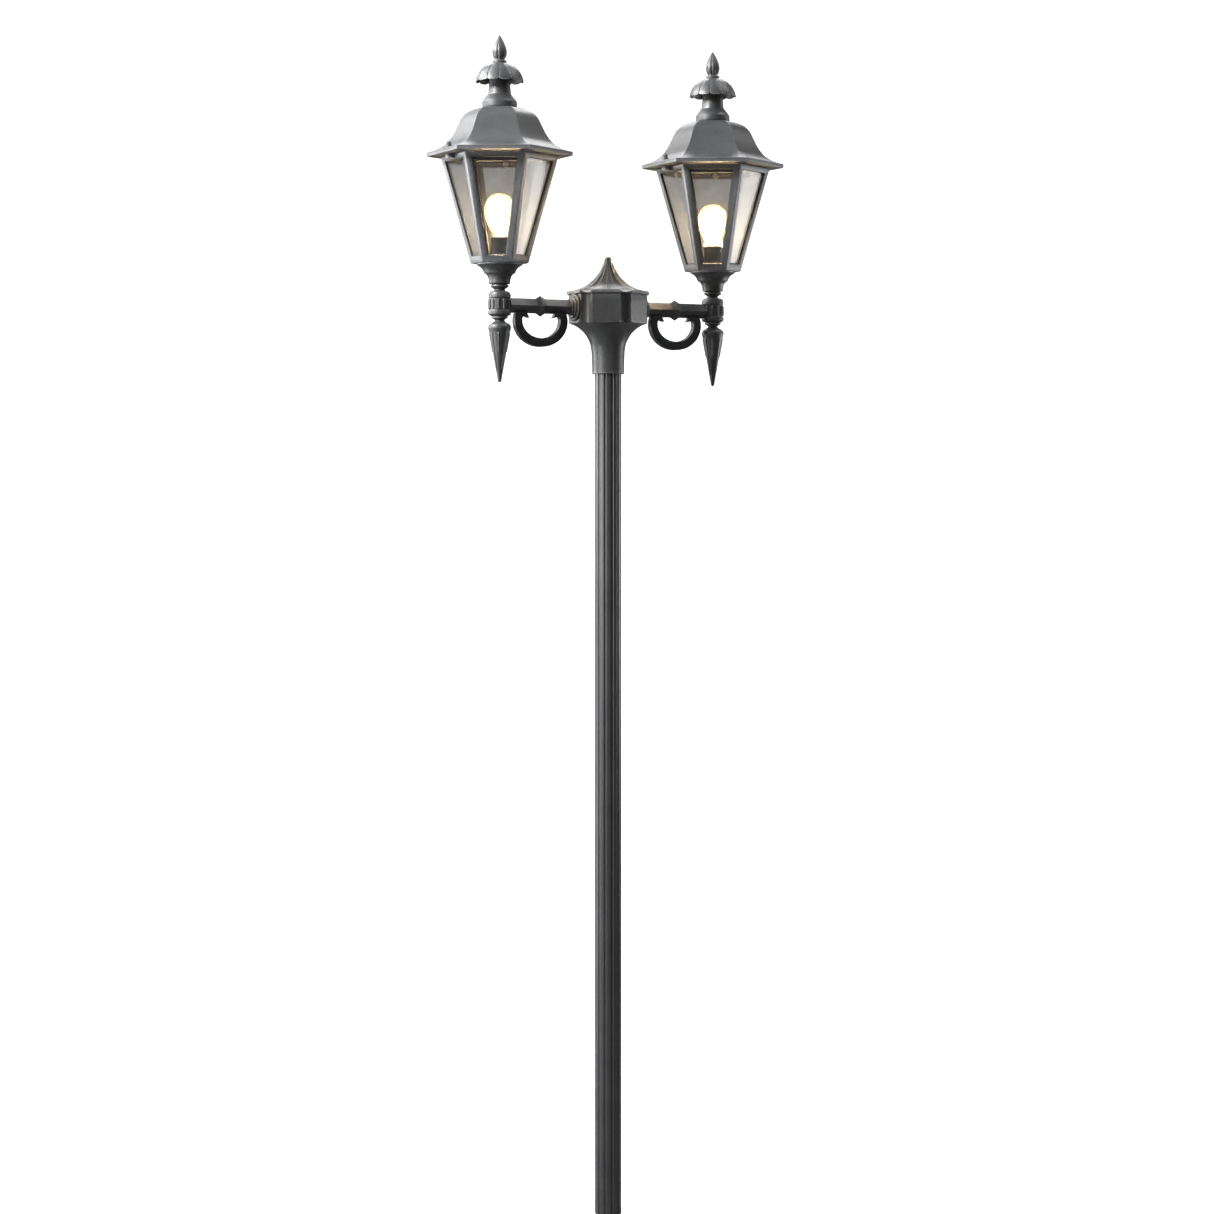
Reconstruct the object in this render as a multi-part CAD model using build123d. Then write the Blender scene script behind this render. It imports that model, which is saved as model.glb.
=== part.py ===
from build123d import *
import math
import os

# Twin-lantern street lamp post: a fluted tubular pole, a hexagonal hub with a
# pagoda cap, two square bracket arms set on edge with a knuckle and a scroll
# below, and a six-sided tapered lantern with a bell roof on each arm.
#
# Frame: origin at the centre of the pole's foot, +Z up, the arms along X.
# Millimetres throughout.

# ---- driving dimensions -------------------------------------------------
POLE_R = 26.5            # outer radius over the lands
POLE_BORE_R = 22.5       # inside radius, takes the ground anchor's spigot
POLE_TOP = 1738.0        # top end, seated inside the hub collar
FLUTES = 12
FLUTE_CUT_R = 4.2        # radius of the flute's cutter
FLUTE_CUT_AT = 28.9      # distance of the cutter's centre from the axis
FLUTE_TURN = 21.0        # degrees, angle of the first flute

HUB_A = 74.0             # apothem of the six wide pads
PAD_W = 27.5             # half width of a pad
CORE_R = 73.0            # radius of the recessed strips between pads
HUB_BOT = 1779.0
HUB_TOP = 1836.0
COLLAR_BOT = 1678.0
COLLAR_R = 32.0
SCREW_Z = 1732.0         # height of the screws that grip the pole
COLLAR_BORE = 26.6
CAP_TIP = 1912.0
LIP = 4.0                # overhang of the cap over the body
CAP_SCREWS = (30, 150)   # degrees, the two recessed strips on the far side

ARM_X = 238.6            # pole axis to lantern axis
ARM_Z = 1809.0           # height of the arm's centre line
ARM_D = 15.0             # half diagonal of the square arm
KNUCKLE_D = 21.0         # half diagonal at the knuckle
KNUCKLE_X = 150.5
ROSETTE_END = 87.0
TENON_R = 9.0
ARM_BORE = 5.0
LEAD_R = 2.0

BARREL_BOT, BARREL_TOP = 1787.5, 1835.5
BARREL_R = 22.4
BARREL_RIBS = 12
STEM_R, STEM_BORE = 8.0, 6.0
CUP_BOT, CUP_TOP = 1850.0, 1890.5
FRAME_TOP = 2099.5
FRAME_R0, FRAME_R1 = 57.0, 116.0     # corner radius at foot and top
FRAME_T = 9.0            # casting thickness, square to the face
FLANGE = 12.5            # post flange width on each face
RAIL_BOT, RAIL_TOP = 13.0, 10.0
PANE_T = 3.0
ROOF_BOT = 2101.0
ROOF_A = 125.5           # apothem of the eave
ROOF_TOP = 2196.0
HINGE_X, HINGE_Z = 112.0, 2096.5
LATCH_X = -109.0
LATCH_Z = 2117.6         # seat of the latch knob
GAP = 0.1                # radial clearance of assembled round fits

os.makedirs("parts", exist_ok=True)


# ---- helpers ------------------------------------------------------------
def wire_face(*parts):
    """Closed XZ face from point lists: ('l', pts) straight runs, ('s', pts) a spline."""
    edges = []
    for kind, pts in parts:
        p3 = [(x, 0, z) for x, z in pts]
        if kind == "s":
            edges.append(Edge.make_spline([Vector(*p) for p in p3]))
        else:
            for a, b in zip(p3[:-1], p3[1:]):
                if (Vector(*a) - Vector(*b)).length > 1e-6:
                    edges.append(Edge.make_line(a, b))
    return Face(Wire(edges))


def rev(*parts):
    return revolve(wire_face(*parts), Axis.Z, 360)


def cyl(r, z0, z1, x=0.0, y=0.0):
    return Pos(x, y, (z0 + z1) / 2) * Cylinder(r, z1 - z0)


def cyl_x(r, x0, x1, y=0.0, z=0.0):
    return Pos((x0 + x1) / 2, y, z) * Rot(0, 90, 0) * Cylinder(r, x1 - x0)


def cyl_y(r, y0, y1, x=0.0, z=0.0):
    return Pos(x, (y0 + y1) / 2, z) * Rot(90, 0, 0) * Cylinder(r, y1 - y0)


def box(x0, x1, y0, y1, z0, z1):
    return Pos((x0 + x1) / 2, (y0 + y1) / 2, (z0 + z1) / 2) * Box(x1 - x0, y1 - y0, z1 - z0)


def turn(shape, deg):
    return Rot(0, 0, deg) * shape


def group(shapes):
    out = []
    for s in shapes:
        out.extend(s.solids())
    return Compound(out)


def prism_poly(pts, z0, z1):
    return Pos(0, 0, z0) * extrude(make_face(Polyline(*[(x, y) for x, y in pts], close=True)), z1 - z0)


# ---- pole ---------------------------------------------------------------
pole_sk = Circle(POLE_R)
for k in range(FLUTES):
    a = math.radians(FLUTE_TURN + 360 / FLUTES * k)
    pole_sk -= Pos(FLUTE_CUT_AT * math.cos(a), FLUTE_CUT_AT * math.sin(a)) * Circle(FLUTE_CUT_R)
pole_sk -= Circle(POLE_BORE_R)
pole = extrude(pole_sk, POLE_TOP)


# ---- hub ----------------------------------------------------------------
def hub_section(s, z, grow=0.0):
    """Outline of six pads and the recessed strips between them, scaled by s."""
    pts = []
    for k in range(6):
        c, d = math.cos(math.radians(60 * k)), math.sin(math.radians(60 * k))
        for x, y in ((HUB_A + grow, -PAD_W), (HUB_A + grow, PAD_W)):
            pts.append(((x * c - y * d) * s, (x * d + y * c) * s, z))
        for t in (23.0, 37.0):
            u = math.radians(60 * k + t)
            pts.append(((CORE_R + grow) * math.cos(u) * s, (CORE_R + grow) * math.sin(u) * s, z))
    return pts


def section_wire(s, z, grow=0.0):
    return Wire.make_polygon([Vector(*p) for p in hub_section(s, z, grow)])


body_sec = [(x, y) for x, y, _ in hub_section(1.0, 0)]
hub_body = prism_poly(body_sec, HUB_BOT, HUB_TOP)
trumpet = [(78.0, 1779.0), (66.6, 1775.0), (59.0, 1770.0), (51.4, 1763.4), (45.0, 1756.0), (39.8, 1747.0),
           (36.0, 1738.0), (34.2, 1729.0), (33.0, 1717.6), (32.3, 1698.4), (COLLAR_R, 1690.0)]
skirt = rev(("l", [(0, 1779.0), trumpet[0]]), ("s", trumpet),
            ("l", [trumpet[-1], (COLLAR_R, COLLAR_BOT + 1), (COLLAR_R - 1, COLLAR_BOT), (0, COLLAR_BOT), (0, 1779.0)]))
# the skirt's round top is trimmed to the pads and strips of the body
skirt = skirt & prism_poly(body_sec, COLLAR_BOT - 5, HUB_BOT + 1)
hub_body = hub_body + skirt
hex_in = [(68.0 / math.cos(math.radians(30)) * math.cos(math.radians(60 * k + 30)),
           68.0 / math.cos(math.radians(30)) * math.sin(math.radians(60 * k + 30))) for k in range(6)]
cavity = prism_poly(hex_in, 1785.0, HUB_TOP + 1) & cyl(70.0, 1780, HUB_TOP + 2)
funnel = rev(("l", [(0, 1786.0), (52.0, 1786.0), (52.0, 1785.0), (44.0, 1770.0), (34.0, 1757.0), (24.0, 1744.0),
                    (24.0, 1738.5), (0, 1738.5), (0, 1786.0)]))
hub_body = hub_body - cavity - funnel - cyl(COLLAR_BORE, COLLAR_BOT - 1, POLE_TOP + 0.5)
for d in (0, 180):                     # bores for the arms' threaded ends
    hub_body = hub_body - turn(cyl_x(TENON_R + GAP, 60, 80, 0, ARM_Z), d)
for k in range(3):                     # set screws through the collar
    hub_body = hub_body - turn(cyl_x(2.6, 25, 40, 0, SCREW_Z), -120 + 120 * k)
for d in CAP_SCREWS:                   # screws that hold the cap
    hub_body = hub_body - turn(cyl_x(2.1, 60, 80, 0, 1829.0), d)

collar_screws = group([turn(cyl_x(2.5, 26.52, 33.4, 0, SCREW_Z) - cyl_x(1.2, 30.5, 34.0, 0, SCREW_Z), -120 + 120 * k)
                       for k in range(3)])

cap_prof = [(82.0, 1842.0), (75.5, 1844.0), (62.0, 1847.0), (49.4, 1851.6), (39.0, 1858.2), (29.8, 1866.4),
            (21.8, 1875.6), (14.9, 1887.2), (10.3, 1896.8), (7.6, 1905.0), (6.9, 1909.0)]
cap_R = math.hypot(HUB_A, PAD_W)
cap_wires = [section_wire(r / (cap_R + LIP), z, LIP) for r, z in cap_prof]
cap_top = Solid.make_loft(cap_wires, ruled=False)
lip_sec = [(x, y) for x, y, _ in hub_section(1.0, 0, LIP)]
k_lip = 82.0 / (cap_R + LIP)
cap_lip = prism_poly([(x * k_lip, y * k_lip) for x, y in lip_sec], HUB_TOP, 1842.0)
tip = rev(("l", [(0, 1908.5), (6.1, 1908.5)]), ("s", [(6.1, 1908.5), (6.4, 1910.0), (5.2, 1911.6), (0, CAP_TIP)]),
          ("l", [(0, CAP_TIP), (0, 1908.5)]))
hub_cap = Part(cap_lip.wrapped) + Part(cap_top.wrapped) + tip
cap_in = [(r * 0.9 - 6.0, z - 1.5) for r, z in cap_prof[1:8]]
cap_hollow = rev(("l", [(0, HUB_TOP - 1), (62.0, HUB_TOP - 1), (62.0, 1839.5), (cap_in[0][0], cap_in[0][1])] + cap_in[1:] + [(0, cap_in[-1][1]), (0, HUB_TOP - 1)]))
hub_cap = hub_cap - cap_hollow
spigot = cyl(66.5, 1822.0, 1836.5) - cyl(61.5, 1821.0, 1840.0)
for s in (0, 180):                     # room for the arms' locknuts is left below the spigot
    spigot = spigot - turn(box(40, 70, -18, 18, 1820, 1826), s)
hub_cap = hub_cap + spigot
strip_at = CORE_R * math.cos(math.radians(7))       # distance of a strip's face from the axis
for d in CAP_SCREWS:
    hub_cap = hub_cap - turn(cyl_x(2.1, 55, 70, 0, 1829.0), d)
cap_screws = group([turn(cyl_x(2.0, 62.5, strip_at + 0.5, 0, 1829.0) + cyl_x(3.4, strip_at, strip_at + 2.1, 0, 1829.0), d)
                    for d in CAP_SCREWS])

# terminal block moulded on a strap that lies on the ledge of the hub's floor
terminal_block = box(-10, 10, -60, 60, 1785.0, 1787.5) + box(-22, 22, -14, 14, 1786.5, 1817.0)
for i in (-14, 0, 14):
    for j in (-8.0, 8.0):
        terminal_block = terminal_block - cyl(2.2, 1806.0, 1818.0, i, j)
terminal_screws = group([cyl(2.0, 1808.0, 1815.5, i, j) - box(i - 0.4, i + 0.4, j - 3, j + 3, 1814.5, 1816)
                         for i in (-14, 0, 14) for j in (-8.0, 8.0)])


# ---- arm, built at +X ---------------------------------------------------
def diamond(d, x):
    return Wire.make_polygon([Vector(x, 0, ARM_Z + d), Vector(x, d, ARM_Z), Vector(x, 0, ARM_Z - d),
                              Vector(x, -d, ARM_Z)])


def make_arm():
    bar = Solid.make_loft([diamond(ARM_D, ROSETTE_END), diamond(ARM_D, ARM_X - 8)], ruled=True)
    kn = Solid.make_loft([diamond(ARM_D - 0.01, KNUCKLE_X - 10), diamond(KNUCKLE_D, KNUCKLE_X),
                          diamond(ARM_D - 0.01, KNUCKLE_X + 10)], ruled=True)
    arm = Part(bar.wrapped) + Part(kn.wrapped)
    arm = arm - cyl(BARREL_R + 0.25, ARM_Z - 40, ARM_Z + 40, ARM_X)
    arm = arm + cyl_x(TENON_R, 58.0, ROSETTE_END + 1, 0, ARM_Z)
    arm = arm + cyl_x(TENON_R, ARM_X - 26, ARM_X - 15.5, 0, ARM_Z)
    arm = arm - cyl_x(ARM_BORE, 50, ARM_X, 0, ARM_Z)
    for dx in (-44.0, 44.0):           # sockets for the scroll's pegs
        arm = arm - cyl(3.1, 1790, 1801.2, KNUCKLE_X + dx)
    return arm


def make_scroll():
    cz0, cz1 = 1779.4, 1781.0
    sk = Pos(0, cz0) * Ellipse(57.5, 50.6) - Pos(0, cz1) * Ellipse(41.8, 35.0)
    sk -= Pos(0, 1850) * Rectangle(200, 2 * (1850 - 1801.0))
    sk -= Pos(0, 1797) * Rectangle(2 * 36.0, 20)
    for s in (1, -1):
        pts = [(-46, 1801), (-31.0, 1801), (-31.5, 1793.5), (-29.5, 1790.0), (-26.4, 1786.4), (-31.5, 1787.9), (-35.5, 1787.6),
               (-39.6, 1784.4), (-46, 1784.4)]
        pts = [(s * x, z) for x, z in pts]
        sk += make_face(Polyline(*pts, close=True))
    body = extrude(sk, 7.0, both=True)
    body = Pos(KNUCKLE_X, 0, 0) * Rot(90, 0, 0) * body
    # the long edges of the crescent are broken
    rims = [e for e in body.edges() if abs(abs(e.center().Y) - 7.0) < 0.01 and e.length > 60]
    body = chamfer(rims, 2.2)
    big = Solid.make_loft([diamond(ARM_D, 60), diamond(ARM_D, ARM_X)], ruled=True)
    body = body - Part(big.wrapped)
    for dx in (-44.0, 44.0):
        body = body + cyl(3.0, 1790, 1800.8, KNUCKLE_X + dx)
    return body


def x_rev(*parts):
    """Revolved about the arm's centre line: profile points are (x, radius)."""
    edges = []
    for kind, pts in parts:
        p3 = [(x, 0, ARM_Z + r) for x, r in pts]
        for a, b in zip(p3[:-1], p3[1:]):
            edges.append(Edge.make_line(a, b))
    return revolve(Face(Wire(edges)), Axis((0, 0, ARM_Z), (1, 0, 0)), 360)


def make_rosette():
    b = TENON_R + GAP
    return x_rev(("l", [(74.0, b), (74.0, 27.0), (77.6, 27.0), (79.0, 25.6), (79.0, 22.0), (81.8, 22.0), (83.0, 20.8),
                        (83.0, 16.6), (86.0, 16.6), (87.0, 15.6), (87.0, b), (74.0, b)]))


def make_locknut():
    nut = Pos(63.75, 0, ARM_Z) * Rot(0, 90, 0) * extrude(RegularPolygon(14.0, 6), 4.0, both=True)
    return nut - cyl_x(TENON_R + GAP, 50, 70, 0, ARM_Z)


def make_lead():
    r = 12.0
    x1 = ARM_X - r
    path = Wire([Edge.make_line((22.0, 0, ARM_Z), (x1, 0, ARM_Z)),
                 Edge.make_three_point_arc((x1, 0, ARM_Z), (ARM_X - r + r * math.sin(math.radians(45)), 0, ARM_Z + r - r * math.cos(math.radians(45))), (ARM_X, 0, ARM_Z + r)),
                 Edge.make_line((ARM_X, 0, ARM_Z + r), (ARM_X, 0, 1894.5))])
    prof = Plane(origin=(22.0, 0, ARM_Z), z_dir=(1, 0, 0)) * Circle(LEAD_R)
    return sweep(prof, path=path)


# ---- holder, built on the lantern axis at the origin --------------------
def make_barrel():
    b = rev(("l", [(0, BARREL_BOT), (17.0, BARREL_BOT), (20.6, 1789.2), (22.4, 1791.0), (22.4, 1797.5), (20.6, 1799.2),
                   (20.6, 1821.0), (21.6, 1822.6), (21.9, 1829.5), (20.8, 1833.0), (18.6, BARREL_TOP), (0, BARREL_TOP),
                   (0, BARREL_BOT)]))
    for k in range(BARREL_RIBS):
        rib = cyl_x(2.1, 18.0, BARREL_R, 0, 0)
        rib = (Pos(0, 0, 1802.6) * rib) + (Pos(0, 0, 1817.4) * rib) + box(18.0, BARREL_R, -2.1, 2.1, 1802.6, 1817.4)
        b = b + turn(rib, 15 + 30 * k)
    b = b - cyl(14.0, 1797.0, 1824.0)
    b = b - cyl(STEM_R + GAP, 1823.0, 1840.0)
    b = b - cyl(5.0 + GAP, 1780.0, 1798.0)
    return b


def make_spacer():
    s = rev(("l", [(0, BARREL_TOP), (15.5, BARREL_TOP)]),
            ("s", [(15.5, BARREL_TOP), (11.6, 1837.0), (10.4, 1839.0), (12.5, 1841.2), (17.0, 1844.4)]),
            ("l", [(17.0, 1844.4), (17.9, 1845.8), (17.4, 1847.6), (14.5, 1848.6), (14.5, CUP_BOT), (0, CUP_BOT), (0, BARREL_TOP)]))
    return s - cyl(STEM_R + GAP, 1830, 1860)


def make_stem():
    return cyl(STEM_R, 1825.0, 1872.0) - cyl(STEM_BORE, 1820, 1880)


def make_stem_nut():
    n = Pos(0, 0, 1862.2) * extrude(RegularPolygon(12.5, 6), 6.0)
    return n - cyl(STEM_R + GAP, 1860, 1875)


def make_cup():
    c = rev(("l", [(0, CUP_BOT), (19.6, CUP_BOT), (21.0, 1851.0), (21.0, 1855.0)]),
            ("s", [(21.0, 1855.0), (21.6, 1860.0), (23.8, 1866.0), (27.8, 1870.4)]),
            ("l", [(27.8, 1870.4), (30.4, 1871.4), (30.8, 1872.8)]),
            ("s", [(30.8, 1872.8), (32.8, 1877.2), (36.8, 1882.0), (41.8, 1885.8), (45.4, 1887.8)]),
            ("l", [(45.4, 1887.8), (45.4, CUP_TOP), (0, CUP_TOP), (0, CUP_BOT)]))
    c = c - cyl(STEM_R + GAP, 1840, 1870)
    c = c - cyl(16.0, 1862.0, 1895.0)
    c = c - rev(("l", [(0, 1876.0), (24.0, 1876.0), (32.0, 1887.0), (32.0, 1895.0), (0, 1895.0), (0, 1876.0)]))
    return c


def make_drop():
    d = rev(("l", [(0, BARREL_BOT), (13.5, BARREL_BOT)]),
            ("l", [(13.5, BARREL_BOT), (16.4, 1786.0), (16.4, 1783.6)]),
            ("s", [(16.4, 1783.6), (12.0, 1781.4), (9.6, 1779.0), (10.4, 1776.8), (14.0, 1774.8)]),
            ("s", [(14.0, 1774.8), (18.6, 1772.0), (21.6, 1768.6), (22.4, 1765.6)]),
            ("l", [(22.4, 1765.6), (22.2, 1762.6)]),
            ("s", [(22.2, 1762.6), (21.0, 1758.4), (20.0, 1754.6), (19.3, 1751.0)]),
            ("l", [(19.3, 1751.0), (3.6, 1661.0)]),
            ("s", [(3.6, 1661.0), (3.0, 1658.8), (1.6, 1657.5), (0, 1657.2)]),
            ("l", [(0, 1657.2), (0, BARREL_BOT)]))
    slope = (19.3 - 3.6) / 90.0
    for k in range(8):
        z0 = 1717.5 if k % 2 else 1683.0
        z1 = 1755.0
        # a rib follows the cone: a thin round bar leaned to its slope
        r_of = lambda z: 19.3 - slope * (1751.0 - z)
        a, b = (r_of(z0) - 0.5, z0), (r_of(z1) - 0.6, z1)
        length = math.hypot(b[0] - a[0], b[1] - a[1])
        tilt = math.degrees(math.atan2(b[0] - a[0], b[1] - a[1]))
        rib = Pos((a[0] + b[0]) / 2, 0, (a[1] + b[1]) / 2) * Rot(0, tilt, 0) * Cylinder(1.7, length)
        rib = rib + Pos(a[0], 0, a[1]) * Sphere(1.7) + Pos(b[0], 0, b[1]) * Sphere(1.7)
        d = d + turn(rib, 15 + 45 * k)
    return d + cyl(5.0, BARREL_BOT - 4, 1796.5)


# ---- lantern, built on its own axis -------------------------------------
def corner_r(z):
    return FRAME_R0 + (FRAME_R1 - FRAME_R0) * (z - CUP_TOP) / (FRAME_TOP - CUP_TOP)


C30 = math.cos(math.radians(30))
TAU = math.atan((corner_r(2000.0) - corner_r(1900.0)) * C30 / 100.0)


def hexagon(apothem, z):
    r = apothem / C30
    return Wire.make_polygon([Vector(r * math.cos(math.radians(60 * k + 30)), r * math.sin(math.radians(60 * k + 30)), z)
                              for k in range(6)])


def face_plane(depth=0.0):
    """Plane of the +X face, its local y running up the slope; depth is inwards."""
    z0 = CUP_TOP
    a0 = corner_r(z0) * C30
    n = (math.cos(TAU), 0, -math.sin(TAU))
    return Plane(origin=(a0 - depth * n[0], 0, z0 - depth * n[2]), x_dir=(0, 1, 0), z_dir=n)


def trapezoid(z0, z1, inset, grow=0.0):
    """Window outline on the face: inset from the corner edges, grown by grow all round."""
    v0, v1 = (z0 - CUP_TOP) / math.cos(TAU) - grow, (z1 - CUP_TOP) / math.cos(TAU) + grow
    h = lambda v: corner_r(CUP_TOP + v * math.cos(TAU)) / 2 - inset + grow
    return [(-h(v0), v0), (h(v0), v0), (h(v1), v1), (-h(v1), v1)]


def slab_on_face(pts, d0, d1):
    """Prism over the outline pts from depth d0 to depth d1 below the outer face."""
    f = make_face(Polyline(*pts, close=True))
    return extrude(face_plane(d1) * f, d1 - d0)


WIN = (CUP_TOP + RAIL_BOT, FRAME_TOP - RAIL_TOP)


def make_frame():
    a0, a1 = corner_r(CUP_TOP) * C30, corner_r(FRAME_TOP) * C30
    t = FRAME_T / math.cos(TAU)
    outer = Part(Solid.make_loft([hexagon(a0, CUP_TOP), hexagon(a1, FRAME_TOP)], ruled=True).wrapped)
    zi = CUP_TOP + 4.0
    ai = lambda z: corner_r(z) * C30 - t
    core = Part(Solid.make_loft([hexagon(ai(zi), zi), hexagon(ai(FRAME_TOP + 5), FRAME_TOP + 5)], ruled=True).wrapped)
    f = outer - core
    # lug for the latch screw, and the hinge's middle knuckle
    lug = box(-115.0, -93.0, -8, 8, 2092.0, FRAME_TOP) - core
    f = f + lug - cyl(2.7, 2085, 2105, LATCH_X)
    hinge = (box(93.0, HINGE_X, -8, 8, 2093.0, 2099.3) - core) + cyl_y(4.2, -8, 8, HINGE_X, HINGE_Z)
    f = f + hinge - cyl_y(2.1, -20, 20, HINGE_X, HINGE_Z)
    win = slab_on_face(trapezoid(*WIN, FLANGE), -5.0, 20.0)
    reb = slab_on_face(trapezoid(*WIN, FLANGE, 5.0), 5.0, 16.0)
    for k in range(6):
        f = f - turn(win, 60 * k) - turn(reb, 60 * k)
    for k in (1, 3, 5):                # seats that the roof rests on
        f = f + turn(cyl(3.5, FRAME_TOP - 1, ROOF_BOT - 0.1, 109.0, 0), 60 * k - 30)
    f = f - cyl(10.0, CUP_TOP - 1, CUP_TOP + 6)     # way up for the lead
    for k in range(3):                 # screws down into the cup
        f = f - turn(cyl(2.1, CUP_TOP - 1, CUP_TOP + 6, 37.5), 90 + 120 * k)
    return f


def make_panes():
    p = slab_on_face(trapezoid(*WIN, FLANGE, 4.6), 5.15, 5.15 + PANE_T)
    return group([turn(p, 60 * k) for k in range(6)])


def make_clips():
    """Half-round spring clips screwed to the inner side of the top rail, one a face."""
    v_top = (FRAME_TOP - CUP_TOP) / math.cos(TAU)
    sk = Pos(-4.0, v_top - 6.6) * Circle(6.6)
    tab = extrude(face_plane(FRAME_T + 1.4) * sk, 1.3)
    head = extrude(face_plane(FRAME_T + 3.2) * (Pos(-4.0, v_top - 5.0) * Circle(2.4)), 1.9)
    return group([turn(tab + head, 60 * k) for k in range(6)])


def make_cup_screws():
    return group([turn(cyl(2.0, CUP_TOP - 5.9, CUP_TOP + 4.2, 37.5) + cyl(3.6, CUP_TOP + 4.0, CUP_TOP + 6.2, 37.5), 90 + 120 * k)
                  for k in range(3)])


def make_lampholder():
    h = rev(("l", [(0, CUP_TOP + 4.0), (15.0, CUP_TOP + 4.0), (15.0, 1903.0), (18.6, 1904.5), (18.6, 1909.0), (18.0, 1909.6),
                   (18.0, 1936.0), (19.2, 1937.0), (19.2, 1940.4), (18.2, 1941.4), (0, 1941.4), (0, CUP_TOP + 4.0)]))
    h = h - cyl(13.6, 1913.0, 1945.0) - cyl(6.0, 1905.0, 1915.0)
    for k in range(16):                # grip flutes
        h = h - turn(cyl(0.8, 1911.0, 1934.0, 18.2), 22.5 * k)
    return h


def make_bulb_cap():
    pts = [(0, 1915.6), (4.0, 1915.6), (4.6, 1917.2), (9.0, 1918.4), (12.0, 1920.6)]
    z = 1920.6
    while z < 1937.0:
        pts += [(13.1, z + 0.9), (13.1, z + 1.7), (12.2, z + 2.7), (12.2, z + 3.2)]
        z += 3.6
    pts += [(13.0, z + 0.8), (13.0, 1942.6), (0, 1942.6), (0, 1915.6)]
    return rev(("l", pts))


BULB = [(13.0, 1942.6), (14.6, 1948.0), (18.4, 1957.0), (23.6, 1967.0), (27.8, 1978.0), (29.8, 1990.0), (29.6, 2000.0),
        (27.0, 2011.0), (21.6, 2020.0), (12.6, 2026.0), (0.0, 2028.0)]


def make_bulb_glass():
    pts_in = [(r - 1.0, z) for r, z in BULB[:8]] + [(20.9, 2018.8), (12.0, 2024.9), (0.0, 2026.9)]
    o = rev(("l", [(0, 1942.6), BULB[0]]), ("s", BULB), ("l", [(0, 2028.0), (0, 1942.6)]))
    i = rev(("l", [(0, 1942.6), pts_in[0]]), ("s", pts_in), ("l", [(0, 2026.9), (0, 1942.6)]))
    return o - i


def make_filament():
    parts = [rev(("l", [(0, 1942.7), (7.5, 1942.7), (3.2, 1952.0), (2.2, 1966.0), (2.2, 1990.0), (0, 1990.0), (0, 1942.7)]))]
    for k in range(6):
        a = math.radians(60 * k + 20)
        stick = Rot(0, 9, 0) * Cylinder(0.9, 38.0)
        parts.append(turn(Pos(9.5, 0, 1981.0) * stick, math.degrees(a)))
    return group(parts)


ROOF_PROF = [(123.6, 2109.2), (111.4, 2113.4), (100.6, 2119.3), (91.0, 2127.0), (83.6, 2137.2), (76.2, 2151.6),
             (70.8, 2164.8), (66.6, 2174.4), (61.2, 2182.2), (54.0, 2188.5), (46.0, 2192.8), (36.6, ROOF_TOP)]


def offset_in(pts, d):
    out = []
    for i, p in enumerate(pts):
        a, b = pts[max(i - 1, 0)], pts[min(i + 1, len(pts) - 1)]
        tx, tz = b[0] - a[0], b[1] - a[1]
        n = math.hypot(tx, tz)
        out.append((p[0] + tz / n * -d if tz > 0 else p[0], p[1] + tx / n * d))
    return out


def hex_body(prof):
    """Six-sided body whose faces follow the half profile prof, a list of ('l'|'s', points) from foot to top centre."""
    right, left = [], []
    for kind, pts in prof:
        right.append((kind, pts))
        left.insert(0, (kind, [(-x, z) for x, z in reversed(pts)]))
    z0 = prof[0][1][0][1]
    x0 = prof[0][1][0][0]
    face = wire_face(*(right + left + [("l", [(-x0, z0), (x0, z0)])]))
    slab = extrude(face, 200, dir=(0, 1, 0), both=True)
    out = slab
    for d in (60, 120):
        out = out & turn(slab, d)
    return out


def make_roof():
    outer = hex_body([("l", [(ROOF_A, ROOF_BOT), (ROOF_A, 2107.6), ROOF_PROF[0]]), ("s", ROOF_PROF),
                      ("l", [ROOF_PROF[-1], (0, ROOF_TOP)])])
    inn = offset_in(ROOF_PROF, 3.6)
    inn = [(117.5, 2107.6)] + inn[1:-1] + [(36.0, ROOF_TOP - 4.0)]
    inner = hex_body([("l", [(92.0, ROOF_BOT - 2), (92.0, 2104.4), (117.5, 2104.4), inn[0]]), ("s", inn),
                      ("l", [inn[-1], (0, ROOF_TOP - 4.0)])])
    r = outer - inner
    # outer knuckles of the hinge under the eave
    for s in (1, -1):
        y0, y1 = sorted((s * 8.4, s * 15.0))
        ear = box(HINGE_X - 4.2, HINGE_X + 4.2, y0, y1, HINGE_Z, ROOF_BOT + 1) + cyl_y(4.2, y0, y1, HINGE_X, HINGE_Z)
        r = r + ear
    r = r - cyl_y(2.1, -20, 20, HINGE_X, HINGE_Z)
    boss = cyl(6.2, 2108.0, LATCH_Z, LATCH_X)
    return r + boss - cyl(2.42, 2095, 2130, LATCH_X) - cyl(3.1, 2180, 2200)


def make_chimney():
    c = rev(("l", [(0, ROOF_TOP), (33.6, ROOF_TOP), (34.4, 2197.2), (34.4, 2207.4), (33.0, 2209.0)]),
            ("s", [(33.0, 2209.0), (31.4, 2211.8), (28.4, 2216.0), (24.4, 2220.6)]),
            ("l", [(24.4, 2220.6), (22.6, 2222.2)]),
            ("s", [(22.6, 2222.2), (21.4, 2231.0), (20.6, 2240.0), (20.2, 2256.0)]),
            ("l", [(20.2, 2256.0), (0, 2256.0), (0, ROOF_TOP)]))
    c = c - rev(("l", [(0, 2195.0), (29.0, 2195.0), (29.0, 2204.0), (17.0, 2218.0), (15.5, 2251.0), (0, 2251.0), (0, 2195.0)]))
    return c - cyl(3.1, 2240, 2260)


CROWN_AT, CROWN_ARC = (5.0, 2241.8), 42.9     # centre and radius of the dome's half section
CROWN_TURN = {"left": 4.0, "right": -6.0}      # degrees, each crown as it was tightened


def dome(radius, z):
    return (CROWN_AT[0] + math.sqrt(radius ** 2 - (z - CROWN_AT[1]) ** 2), z)


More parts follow.
